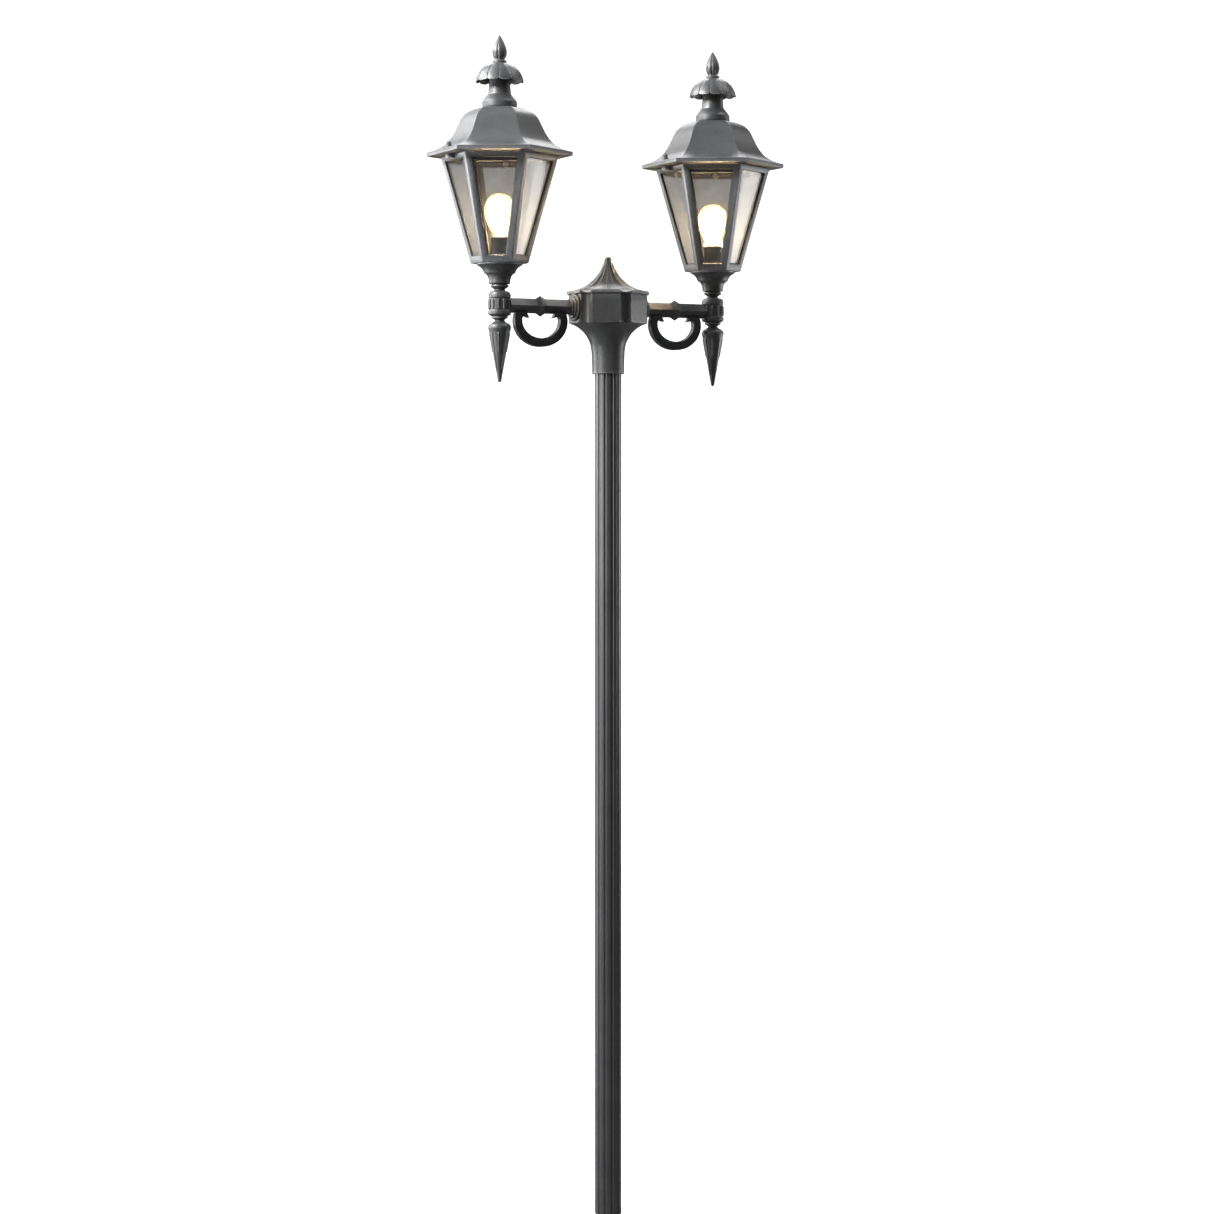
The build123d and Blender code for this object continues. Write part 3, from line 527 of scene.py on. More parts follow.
def cap_rows():
    rows = []
    ang = [rad(a) for a, _ in HUB_ANG]

    def outline(grow, z, drop=0.0):
        return [((hub_r(d) + grow) * math.cos(t), (hub_r(d) + grow) * math.sin(t), z - drop * channel(d)) for (a, d), t in zip(HUB_ANG, ang)]
    rows.append(outline(-13.0, 1836.1))
    rows.append(outline(2.6, 1836.1))
    rows.append(outline(3.5, 1836.5, 0.2))
    rows.append(outline(4.0, 1837.4, 0.6))
    rows.append(outline(4.1, 1840.8, 3.0))
    rows.append(outline(3.7, 1841.9, 3.8))
    rows.append(outline(2.9, 1842.6, 4.2))
    for r, z in CAP:
        w = max(0.0, min(1.0, (12.0 - r) / 5.6)) * 0.7
        k = max(0.0, min(1.0, (r - 66.0) / 14.6))        # at the lip the outline is the hub's own
        row = []
        for (a, d), t in zip(HUB_ANG, ang):
            rr = r * (cap_f(d, w) * (1 - k) + (hub_r(d) + 2.0) / 80.94 * k)
            row.append((rr * math.cos(t), rr * math.sin(t), z - 4.2 * channel(d) * k ** 0.5))
        rows.append(row)
    for r, z in [(6.7, 1909.2), (6.4, 1910.2), (5.4, 1911.2), (3.4, 1911.9)]:
        rows.append([(r * math.cos(t), r * math.sin(t), z) for t in ang])
    rows.append([(0, 0, 1912.0)])
    return rows


put("hub_cap_casting", rows_to_mesh(cap_rows()), M_ROOF_PAINTED_LIGHT, "post", ["hub_cap"], sharp=26)


def socket_screw(r, depth=1.4, proud=0.5, hexr=0.5):
    """Grub screw seen from its end: ring, then a six-sided socket. Round Z, its end at z=proud."""
    n = 36
    rows = []
    for rr, z in [(r, -3.0), (r, proud - 0.35), (r * 0.86, proud)]:
        rows.append([(rr * math.cos(2 * math.pi * k / n), rr * math.sin(2 * math.pi * k / n), z) for k in range(n)])
    for z in (proud, proud - depth):
        row = []
        for k in range(n):
            t = 2 * math.pi * k / n
            q = (math.degrees(t) % 60) - 30
            rr = r * hexr / math.cos(rad(q)) * math.cos(rad(0))
            row.append((rr * math.cos(t), rr * math.sin(t), z))
        rows.append(row)
    rows.append([(0, 0, proud - depth)])
    return rows_to_mesh(rows)


scr = []
for k in range(3):
    m = along_x(socket_screw(2.5, 1.6, 0.3, 0.55))
    m = shift(m, 35.0, 0, 1732.0)
    scr.append(rotz(m, -120 + 120 * k))
put("collar_grub_screws", merge(*scr), M_DARK_PAINTED_SHADE, "post", ["collar_set_screws"], sharp=30)

heads = []
for d in (30, 150):
    head = fillet([(0, 2.6), (1.6, 2.6), (2.9, 1.9), (3.4, 0.9), (3.4, -0.4), (2.0, -0.4), (2.0, -11.0), (0, -11.0)], 0.5)
    m = lathe(head, 32)
    m = merge(m)
    heads.append(rotz(shift(along_x(m), 72.1, 0, 1829.0), d))
put("cap_retaining_screws", merge(*heads), M_COAT, "post", ["hub_cap_screws"])


# --------------------------------------------------------------- arm parts
def diamond_ring(d, x, z0=1809.2, r=1.5):
    """Square section set on edge with rounded corners; r is the rounding."""
    pts = []
    corners = [(d, 0), (0, d), (-d, 0), (0, -d)]
    for i in range(4):
        a, v, b = Vector(corners[i - 1]), Vector(corners[i]), Vector(corners[(i + 1) % 4])
        u, w = (a - v).normalized(), (b - v).normalized()
        s, e = v + u * r, v + w * r
        for t in (0.0, 0.25, 0.5, 0.75, 1.0):
            p = s * (1 - t) ** 2 + v * 2 * t * (1 - t) + e * t * t
            pts.append((x, p.y, z0 + p.x))
    return pts


def arm_mesh():
    xs = [(87.0, 15.2), (88.0, 15.2), (140.0, 15.2), (140.9, 15.5), (149.9, 21.0), (150.5, 21.2), (151.1, 21.0), (160.1, 15.5), (161.0, 15.2),
          (190.0, 15.2), (AX - 19.5, 15.2)]
    rows = [diamond_ring(d, x) for x, d in xs]
    c0 = [(87.0, 0, 1809.2)]
    c1 = [(AX - 19.5, 0, 1809.2)]
    return rows_to_mesh([c0] + rows + [c1])


def scroll_mesh():
    """Crescent under the arm with an inward barb at each end."""
    k = 150.5
    outer, inner = [], []
    n = 56
    a0 = math.asin((1797.0 - 1779.4) / 50.6)
    for i in range(n + 1):
        t = math.pi - a0 * -1 - (math.pi + 2 * a0) * i / n
        t = (math.pi - a0) + (math.pi + 2 * a0) * i / n
        outer.append((k + 57.5 * math.cos(t), 1779.4 + 50.6 * math.sin(t)))
    # inner edge from right to left
    b0 = math.asin((1785.6 - 1781.0) / 35.0)
    for i in range(n + 1):
        t = 2 * math.pi + b0 - (math.pi + 2 * b0) * i / n
        inner.append((k + 41.8 * math.cos(t), 1781.0 + 35.0 * math.sin(t)))
    right_barb = catmull([(k + 41.5, 1786.2), (k + 38.6, 1788.4), (k + 35.2, 1788.6), (k + 31.0, 1787.2), (k + 26.4, 1785.6)], 3)[1:]
    right_barb += [(k + 29.2, 1790.4), (k + 31.2, 1795.0), (k + 31.2, 1798.5)]
    left_barb = [(2 * k - x, z) for x, z in reversed(right_barb)]
    pts = outer + [(outer[-1][0], 1798.5)]
    pts = outer + list(reversed(right_barb)) + inner[1:-1] + list(reversed(left_barb))
    return prism(pts, -7.0, 7.0)


ROSETTE = fillet([(9.0, 74.0), (27.2, 74.0), (27.2, 77.4), (25.6, 79.0), (22.0, 79.2), (22.0, 81.6), (20.4, 83.0), (16.7, 83.2), (16.7, 86.0),
                  (15.4, 87.0), (9.0, 87.0)], 0.8)


def barrel_rib(t, r, z):
    """Twelve upright beads let into the band."""
    if r < 20.0 or not 1799.0 < z < 1822.4:
        return r
    d = (math.degrees(t) + 15.0) % 30.0 - 15.0
    mm = rad(abs(d)) * 21.0
    z0, z1 = 1802.4, 1818.8
    over = max(z0 - z, z - z1, 0.0)
    q = math.hypot(mm, over)
    w = 2.15
    return r + (2.2 * math.sqrt(1 - (q / w) ** 2) if q < w else 0.0)


def fine(profile, step=1.2):
    out = []
    for (r0, z0), (r1, z1) in zip(profile, profile[1:]):
        n = max(1, int(math.hypot(r1 - r0, z1 - z0) / step))
        out += [(r0 + (r1 - r0) * j / n, z0 + (z1 - z0) * j / n) for j in range(n)]
    out.append(profile[-1])
    return out


BARREL = fillet([(0, 1787.5), (16.6, 1787.5), (20.4, 1789.2), (22.4, 1791.2), (22.4, 1797.4), (20.6, 1799.0), (20.6, 1822.2), (22.0, 1823.4), (22.0, 1829.0),
                 (21.0, 1832.6), (18.4, 1835.5), (0, 1835.5)], 0.9)
beads = [0, 0.8, 1.6, 2.5, 3.4, 4.3, 5.0, 5.5, 5.9, 6.4, 8.5, 11.5, 15]
bead_one = sorted({-d for d in beads} | set(beads))[1:]
BEAD_ANG = [rad(30 * k + d) for k in range(12) for d in bead_one]


def barrel_mesh():
    prof = []
    for (r0, z0), (r1, z1) in zip(BARREL, BARREL[1:]):
        if abs(r0 - r1) < 0.01 and r0 > 20 and z1 - z0 > 15:
            prof += [(r0, z0 + (z1 - z0) * j / 44) for j in range(44)]
        else:
            prof.append((r0, z0))
    prof.append(BARREL[-1])
    return lathe(prof, angles=BEAD_ANG, rfun=barrel_rib)


SPACER = [(8.1, 1835.5), (15.6, 1835.6)] + catmull([(15.6, 1835.7), (12.2, 1836.8), (10.4, 1838.8), (12.4, 1841.2), (16.6, 1844.0)], 5)[1:] + \
    fillet([(16.6, 1844.0), (17.9, 1845.6), (17.4, 1847.8), (15.0, 1848.8), (14.6, 1850.2), (8.1, 1850.2)], 0.5)[1:]

DROP_TOP = [(0, 1787.6), (13.4, 1787.6), (16.5, 1786.2), (16.5, 1783.8)] + catmull([(16.5, 1783.8), (12.4, 1781.6), (9.8, 1779.0), (10.6, 1776.8), (14.4, 1774.6), (18.8, 1771.8),
                                                                                 (21.6, 1768.6), (22.5, 1765.2)], 5)[1:] + [(22.4, 1762.8)] + \
    catmull([(22.4, 1762.8), (21.2, 1758.8), (20.1, 1754.8), (19.4, 1751.0)], 4)[1:]


def drop_rib(t, r, z):
    if z > 1756.5 or r < 0.5:
        return r
    best = r
    for k in range(8):
        c = 15 + 45 * k
        d = (math.degrees(t) - c + 180) % 360 - 180
        if abs(d) > 40:
            continue
        z0, z1 = (1718.5 if k % 2 else 1684.0), 1752.6
        mm = rad(abs(d)) * r
        over = max(z0 - z, z - z1, 0.0)
        w = 1.75
        q = math.hypot(mm, over)
        if q < w:
            best = max(best, r + 1.25 * math.sqrt(1 - (q / w) ** 2))
    return best


def drop_mesh():
    cone = [(19.4 + (3.6 - 19.4) * j / 76, 1751.0 + (1660.8 - 1751.0) * j / 76) for j in range(1, 77)]
    tip = [(3.2, 1659.4), (2.3, 1658.2), (1.1, 1657.5), (0, 1657.3)]
    top = fillet(DROP_TOP[:4], 0.6) + DROP_TOP[4:]
    return lathe(top + cone + tip, 240, rfun=drop_rib)


CUP = [(8.1, 1850.2)] + fillet([(8.1, 1850.2), (19.4, 1850.2), (21.0, 1851.4), (21.1, 1855.0)], 0.5)[1:] + \
    catmull([(21.1, 1855.0), (21.6, 1859.0), (22.8, 1863.4), (25.0, 1867.6), (27.8, 1870.2)], 5)[1:] + \
    fillet([(27.8, 1870.2), (30.2, 1871.0), (31.0, 1872.8)], 0.5)[1:] + \
    catmull([(31.0, 1872.8), (32.6, 1876.6), (36.0, 1881.4), (40.8, 1885.2), (45.0, 1887.6)], 5)[1:] + [(45.4, 1890.4), (30.0, 1890.4)]


# ----------------------------------------------------------------- lantern
C30 = math.cos(rad(30))
FR0, FR1, FZ0, FZ1 = 57.0, 116.0, 1890.5, 2099.5
TAU = math.atan((FR1 - FR0) * C30 / (FZ1 - FZ0))
FLANGE, T_WALL = 12.5, 9.0


def corner_r(z):
    return FR0 + (FR1 - FR0) * (z - FZ0) / (FZ1 - FZ0)


def face_pt(h, z, depth):
    """Point on the +X face: h along Y, at the height z of the outer surface, depth inwards."""
    a = corner_r(z) * C30
    return (a - depth * math.cos(TAU), h, z + depth * math.sin(TAU))


def frame_mesh():
    """Six posts and two rails as one casting with a stepped window in each face."""
    verts, faces = [], []
    zb, zt = 1903.5, 2089.5

    def loop(z0, z1, half0, half1, depth):
        return [face_pt(-half0, z0, depth), face_pt(half0, z0, depth), face_pt(half1, z1, depth), face_pt(-half1, z1, depth)]

    def win_half(z, extra=0.0):
        return corner_r(z) / 2 - FLANGE + extra

    for k in range(6):
        loops = []
        # outer corners lie on the hexagon itself
        loops.append([(corner_r(FZ0) * C30, -corner_r(FZ0) / 2, FZ0), (corner_r(FZ0) * C30, corner_r(FZ0) / 2, FZ0),
                      (corner_r(FZ1) * C30, corner_r(FZ1) / 2, FZ1), (corner_r(FZ1) * C30, -corner_r(FZ1) / 2, FZ1)])
        loops.append(loop(zb, zt, win_half(zb), win_half(zt), 0.0))
        loops.append(loop(zb, zt, win_half(zb), win_half(zt), 4.9))
        loops.append(loop(zb - 4.6, zt + 4.6, win_half(zb - 4.6, 4.6), win_half(zt + 4.6, 4.6), 4.9))
        ti = T_WALL
        loops.append(loop(zb - 4.6, zt + 4.6, win_half(zb - 4.6, 4.6), win_half(zt + 4.6, 4.6), ti))
        ti_h = T_WALL / math.cos(TAU)
        ri = lambda z: corner_r(z) - ti_h / C30
        zi = 1894.5
        loops.append([(ri(zi) * C30, -ri(zi) / 2, zi), (ri(zi) * C30, ri(zi) / 2, zi), (ri(FZ1) * C30, ri(FZ1) / 2, FZ1), (ri(FZ1) * C30, -ri(FZ1) / 2, FZ1)])
        c, s = math.cos(rad(60 * k)), math.sin(rad(60 * k))
        base = len(verts)
        for lp in loops:
            verts.extend([(x * c - y * s, x * s + y * c, z) for x, y, z in lp])
        for i in range(len(loops) - 1):
            for j in range(4):
                j2 = (j + 1) % 4
                faces.append((base + 4 * i + j, base + 4 * i + j2, base + 4 * (i + 1) + j2, base + 4 * (i + 1) + j))
        # top edge between the outer and the inner surface
        faces.append((base + 3, base + 2, base + 20 + 2, base + 20 + 3))
    # underside, with the way up for the lead, and the floor above it
    n = len(verts)
    for r, z in ((FR0, FZ0), (10.0, FZ0), (10.0, 1894.5), (ri(1894.5), 1894.5)):
        for k in range(6):
            t = rad(60 * k - 30)
            verts.append((r * math.cos(t), r * math.sin(t), z))
    for i in range(3):
        for k in range(6):
            k2 = (k + 1) % 6
            faces.append((n + 6 * i + k, n + 6 * i + k2, n + 6 * (i + 1) + k2, n + 6 * (i + 1) + k))
    return verts, faces


def slab(x0, x1, y0, y1, z0, z1):
    v = [(x, y, z) for x in (x0, x1) for y in (y0, y1) for z in (z0, z1)]
    f = [(0, 1, 3, 2), (4, 6, 7, 5), (0, 4, 5, 1), (2, 3, 7, 6), (0, 2, 6, 4), (1, 5, 7, 3)]
    return v, f


def frame_lugs():
    """Latch lug, hinge knuckle and the three seats under the roof."""
    def ring(r_out, r_in, z0, z1, n=40):
        prof = [(r_in, z0), (r_out - 0.4, z0), (r_out, z0 + 0.4), (r_out, z1 - 0.4), (r_out - 0.4, z1), (r_in, z1)]
        rows = [[(r * math.cos(2 * math.pi * k / n), r * math.sin(2 * math.pi * k / n), z) for k in range(n)] for r, z in prof]
        return rows_to_mesh(rows, closed_rows=True)
    parts = []
    # latch lug: a tongue with a round end and a hole
    n = 24
    out = [(-98.5, -8.0), (-98.5, 8.0)] + [(-107.6 - 8.0 * math.sin(math.pi * j / n), 8.0 * math.cos(math.pi * j / n)) for j in range(n + 1)]
    parts.append(tongue(out, -109.0, 2.7, 2092.2, 2099.4))
    knuckle = along_y(ring(4.2, 2.1, -8.0, 8.0), 112.0, 2096.5)
    parts.append(knuckle)
    parts.append(slab(98.6, 108.6, -8.0, 8.0, 2093.4, 2099.3))
    for k in (1, 3, 5):
        m = lathe([(0, 2098.0), (3.5, 2098.0), (3.5, 2100.5), (3.1, 2100.9), (0, 2100.9)], 24)
        parts.append(rotz(shift(m, 109.0), 60 * k - 30))
    return merge(*parts)


def tongue(out, hx, hr, z0, z1):
    """Flat tongue in plan with a round hole at (hx, 0)."""
    m = len(out)
    hole = []
    for x, y in out:
        a = math.atan2(y, x - hx)
        hole.append((hx + hr * math.cos(a), hr * math.sin(a)))
    rows = [[(x, y, z0) for x, y in hole], [(x, y, z0) for x, y in out], [(x, y, z1) for x, y in out], [(x, y, z1) for x, y in hole]]
    return rows_to_mesh(rows, closed_rows=True)


def pane_gasket():
    """Thin bead of sealant round each pane where it meets the frame."""
    zb, zt = 1903.5, 2089.5
    verts, faces = [], []

    def pt(z, side, inset, depth):
        h = corner_r(z) / 2 - FLANGE - inset
        return face_pt(side * h, z, depth)
    for k in range(6):
        base = len(verts)
        loops = []
        for inset, depth in ((-0.1, 4.95), (0.2, 4.2), (1.2, 4.6), (1.7, 5.15)):
            loops.append([pt(zb + inset, -1, inset, depth), pt(zb + inset, 1, inset, depth), pt(zt - inset, 1, inset, depth), pt(zt - inset, -1, inset, depth)])
        c, s = math.cos(rad(60 * k)), math.sin(rad(60 * k))
        for lp in loops:
            verts.extend([(x * c - y * s, x * s + y * c, z) for x, y, z in lp])
        for i in range(3):
            for j in range(4):
                j2 = (j + 1) % 4
                faces.append((base + 4 * i + j, base + 4 * i + j2, base + 4 * (i + 1) + j2, base + 4 * (i + 1) + j))
    return verts, faces


HEX_HALF = [0, 4, 8, 13, 18, 22.5, 26, 28.2, 29.2, 29.6, 30]
HEX_D = sorted({-d for d in HEX_HALF} | set(HEX_HALF))[1:]
HEX_ANG = [(60 * k + d, d) for k in range(6) for d in HEX_D]


def hex_ring(corner, z, soft=0.5):
    """Hexagon with faces square to X; soft rounds the corners, in degrees each side."""
    row = []
    for a, d in HEX_ANG:
        lim = 30 - soft
        q = min(abs(d), lim)
        r = corner * C30 / math.cos(rad(q))
        # past the limit the corner is a small arc
        row.append((r * math.cos(rad(a)), r * math.sin(rad(a)), z))
    return row


ROOF = catmull([(144.6, 2109.2), (141.0, 2109.8), (134.5, 2111.3), (128.0, 2113.6), (120.4, 2117.0), (112.0, 2121.8), (104.6, 2127.6), (97.6, 2136.0), (92.4, 2143.6),
                (88.0, 2151.6), (84.6, 2158.6), (81.2, 2166.0), (77.4, 2173.4), (73.0, 2179.4), (67.8, 2184.4), (61.6, 2188.8), (54.8, 2192.0), (46.5, 2194.6), (36.0, 2196.0)], 4)


def roof_mesh():
    rows = []
    # inside, from the crown of the hollow down to the seat
    inside = [(r - 4.6, z - 2.6) for r, z in ROOF if 40 < r < 136]
    inside = [(36.0, 2192.2)] + [p for p in reversed(inside)]
    inside = [p for p in inside if p[1] > 2107.8]
    rows.append([(0, 0, 2192.2)])
    for r, z in inside:
        rows.append(hex_ring(r, z))
    for r, z in [(135.6, 2107.6), (135.6, 2104.4), (107.0, 2104.4), (106.4, 2104.0), (106.4, 2101.2), (107.0, 2101.0), (143.4, 2101.0), (144.4, 2101.3), (144.9, 2102.2),
                 (144.9, 2107.4), (144.7, 2108.2)]:
        rows.append(hex_ring(r, z))
    for r, z in ROOF:
        rows.append(hex_ring(r, z))
    rows.append([(0, 0, 2196.0)])
    return rows_to_mesh(rows)


def roof_fittings():
    """Boss under the latch knob and the two outer knuckles of the hinge."""
    parts = []
    boss = fillet([(2.42, 2104.0), (2.42, 2117.6), (5.6, 2117.6), (6.2, 2117.0), (6.6, 2108.0)], 0.3)
    parts.append(shift(lathe(boss, 36), -109.0))
    for s in (1, -1):
        y0, y1 = sorted((s * 8.4, s * 15.0))
        prof = [(2.1, y0), (3.8, y0), (4.2, y0 + 0.4), (4.2, y1 - 0.4), (3.8, y1), (2.1, y1)]
        rows = [[(r * math.cos(2 * math.pi * k / 40), r * math.sin(2 * math.pi * k / 40), z) for k in range(40)] for r, z in prof]
        parts.append(along_y(rows_to_mesh(rows, closed_rows=True), 112.0, 2096.5))
        parts.append(slab(109.0, 115.0, y0 + 0.3, y1 - 0.3, 2099.6, 2101.4))
    return merge(*parts)


CHIMNEY = fillet([(0, 2196.0), (33.4, 2196.0), (34.3, 2197.4), (34.3, 2207.0), (33.4, 2208.6)], 0.6) + \
    catmull([(33.4, 2208.6), (31.6, 2211.4), (29.0, 2214.8), (26.4, 2218.2), (24.7, 2220.4)], 4)[1:] + [(24.1, 2220.9), (23.6, 2221.6), (22.9, 2221.8)] + \
    catmull([(22.9, 2221.8), (22.2, 2226.0), (21.4, 2235.0), (20.7, 2246.0), (20.2, 2256.0)], 4)[1:] + [(0, 2256.0)]

lobe_half = [0, 2.5, 5.0, 7.5, 10.0, 12.0, 13.2, 13.8, 14.15, 14.4, 14.6, 14.8, 15]
lobe_one = sorted({-d for d in lobe_half} | set(lobe_half))[1:]
CROWN_ANG = [(15 + 30 * k + d, abs(d)) for k in range(12) for d in lobe_one]
CROWN_TURN = {"left": 4.0, "right": -6.0}     # each crown as it was tightened


def dome(z, r=42.9):
    return 5.0 + math.sqrt(r * r - (z - 2241.8) ** 2)


CROWN_OUT = [(13.0, 2284.2), (15.6, 2283.4)] + [(dome(z), z) for z in (2282.6, 2281.2, 2279.4, 2277.2, 2274.6, 2271.6, 2268.2, 2264.4, 2260.4, 2256.4, 2252.6, 2249.4, 2247.6)]


def lobe_depth(a):
    """How far the surface lies below the lobe's back, in mm: a gentle swell, then a narrow groove, a degrees from
    the lobe's middle."""
    swell = 0.7 * (a / 15.0) ** 4
    groove = 1.5 * max(0.0, 1.0 - (15.0 - a) / 1.15) ** 0.8
    return swell + groove


def crown_ring(r, z, s, inner=False):
    row = []
    for ang, a in CROWN_ANG:
        t = rad(ang)
        rr = r - (lobe_depth(a) * min(1.0, s * 4.0) if not inner else 0.5 * (a / 15.0) ** 4)
        # the rim hangs in scallops: full in the middle of a lobe, notched up at its ends
        zz = z + 2.9 * ((a / 15.0) ** 3.2) * max(0.0, (s - 0.72) / 0.28) ** 1.3
        row.append((rr * math.cos(t), rr * math.sin(t), zz))
    return row


def crown_mesh():
    rows = []
    n = len(CROWN_OUT)
    r, z = CROWN_OUT[-1]
    rows.append(crown_ring(r - 1.4, z - 1.0, 1.0, True))
    rows.append(crown_ring(r - 0.6, z - 1.3, 1.0))
    rows.append(crown_ring(r + 0.05, z - 0.8, 1.0))
    for i in range(n - 1, -1, -1):
        r, z = CROWN_OUT[i]
        rows.append(crown_ring(r, z, i / (n - 1)))
    rows.append([(0, 0, 2284.2)])
    return rows_to_mesh(rows)


def crown_inside():
    """The hollow under the crown, down to the boss that stands on the chimney."""
    rows = [[(0, 0, 2256.2)], crown_ring(20.0, 2256.2, 0.0, True), crown_ring(20.0, 2268.0, 0.0, True), crown_ring(24.0, 2275.0, 0.0, True)]
    for z in (2272.6, 2268.4, 2263.4, 2258.0, 2252.6):
        rows.append(crown_ring(dome(z, 40.0), z, 0.4, True))
    rows.append(crown_ring(45.2, 2248.2, 1.0, True))
    rows.append(crown_ring(46.2, 2246.6, 1.0, True))
    return rows_to_mesh(rows)


BUD = [(0, 2283.6)] + fillet([(0, 2283.6), (13.2, 2283.6), (13.9, 2284.6), (13.9, 2287.4), (12.8, 2289.0), (10.0, 2290.0)], 0.5)[1:] + \
    catmull([(10.0, 2290.0), (9.7, 2291.0), (10.6, 2292.6), (12.4, 2295.4), (13.8, 2299.4), (14.3, 2304.0), (14.1, 2308.8), (12.8, 2314.4), (10.6, 2320.4), (7.9, 2326.2), (5.2, 2331.4),
             (2.8, 2335.6), (1.0, 2338.4)], 5)[1:] + [(0, 2338.9)]
BUD_TURN = {"left": 3.0, "right": 8.0}


def bud_r(t, r, z):
    """Eight folded petals: broad backs with deep narrow folds at the foot that fade towards the tip."""
    if z < 2290.6 or r < 1.2:
        return r
    s = min(1.0, (z - 2290.6) / 2.5) * min(1.0, max(0.0, (2338.4 - z) / 14.0))
    low = max(0.0, min(1.0, (2306.0 - z) / 12.0))
    b = abs(math.sin(4 * t)) ** 0.38
    return r * (1 - (0.11 + 0.16 * low) * s * (1 - b))


def holder_r(t, r, z):
    if 17.9 < r < 18.2 and 1911.0 < z < 1935.0:
        return r - 0.55 * max(0.0, math.cos(24 * t)) ** 3
    return r


HOLDER = fillet([(0, 1894.6), (15.0, 1894.6), (15.0, 1903.0), (18.7, 1904.4), (18.7, 1909.0), (18.0, 1910.0), (18.0, 1935.6), (19.2, 1936.8), (19.2, 1940.6), (18.4, 1941.4),
                 (14.4, 1941.4), (13.6, 1940.6), (13.6, 1913.0), (0, 1913.0)], 0.5)


def cap_thread(t, r, z):
    return r


def bulb_thread_mesh():
    prof = [(0, 1915.7), (3.6, 1915.7), (4.4, 1916.6), (5.2, 1917.6), (9.4, 1918.4), (11.8, 1920.2)]
    z = 1920.6
    while z < 1937.5:
        prof += [(12.2, z), (12.8, z + 0.6), (13.1, z + 1.3), (12.8, z + 2.0), (12.2, z + 2.7), (12.0, z + 3.15)]
        z += 3.6
    prof += [(12.9, z + 0.4), (13.0, 1942.4), (0, 1942.5)]
    return lathe(prof, 64)


BULB = catmull([(12.9, 1942.5), (14.2, 1947.0), (17.2, 1954.4), (21.6, 1962.6), (25.8, 1971.4), (28.6, 1980.4), (29.9, 1990.0), (29.7, 1999.4), (27.8, 2008.0), (24.0, 2016.0),
                (18.2, 2022.6), (10.6, 2026.8), (4.0, 2028.0)], 4) + [(0, 2028.1)]


def filament_mesh():
    parts = [lathe([(0, 1942.7), (7.6, 1942.7), (6.6, 1945.0), (3.6, 1950.0), (2.3, 1958.0), (2.1, 1972.0), (2.6, 1974.0), (2.1, 1976.0), (1.8, 1994.0), (3.0, 1998.0), (1.6, 2000.4), (0, 2000.4)], 24)]
    for k in range(6):
        a = rad(60 * k + 20)
        n = 10
        rows = []
        for j in range(25):
            u = j / 24
            z = 1961.0 + 38.0 * u
            r0 = 6.2 + 6.6 * u
            rows.append([((r0 + 0.85 * math.cos(2 * math.pi * q / n)) * math.cos(a) - 0.85 * math.sin(2 * math.pi * q / n) * math.sin(a),
                          (r0 + 0.85 * math.cos(2 * math.pi * q / n)) * math.sin(a) + 0.85 * math.sin(2 * math.pi * q / n) * math.cos(a), z) for q in range(n)])
        parts.append(rows_to_mesh([[(6.2 * math.cos(a), 6.2 * math.sin(a), 1960.4)]] + rows + [[(12.8 * math.cos(a), 12.8 * math.sin(a), 1999.6)]]))
    return merge(*parts)


def knob_r(t, r, z):
    if r > 4.2 and 2118.0 < z < 2123.0:
        return r - 0.45 * abs(math.sin(9 * t)) ** 2
    return r


KNOB = fillet([(0, 2093.0), (2.0, 2093.0), (2.0, 2099.0), (2.35, 2099.4), (2.35, 2117.8), (4.3, 2117.9), (4.8, 2118.4), (4.8, 2122.8), (4.2, 2123.4), (3.4, 2124.6), (0, 2124.8)], 0.3)


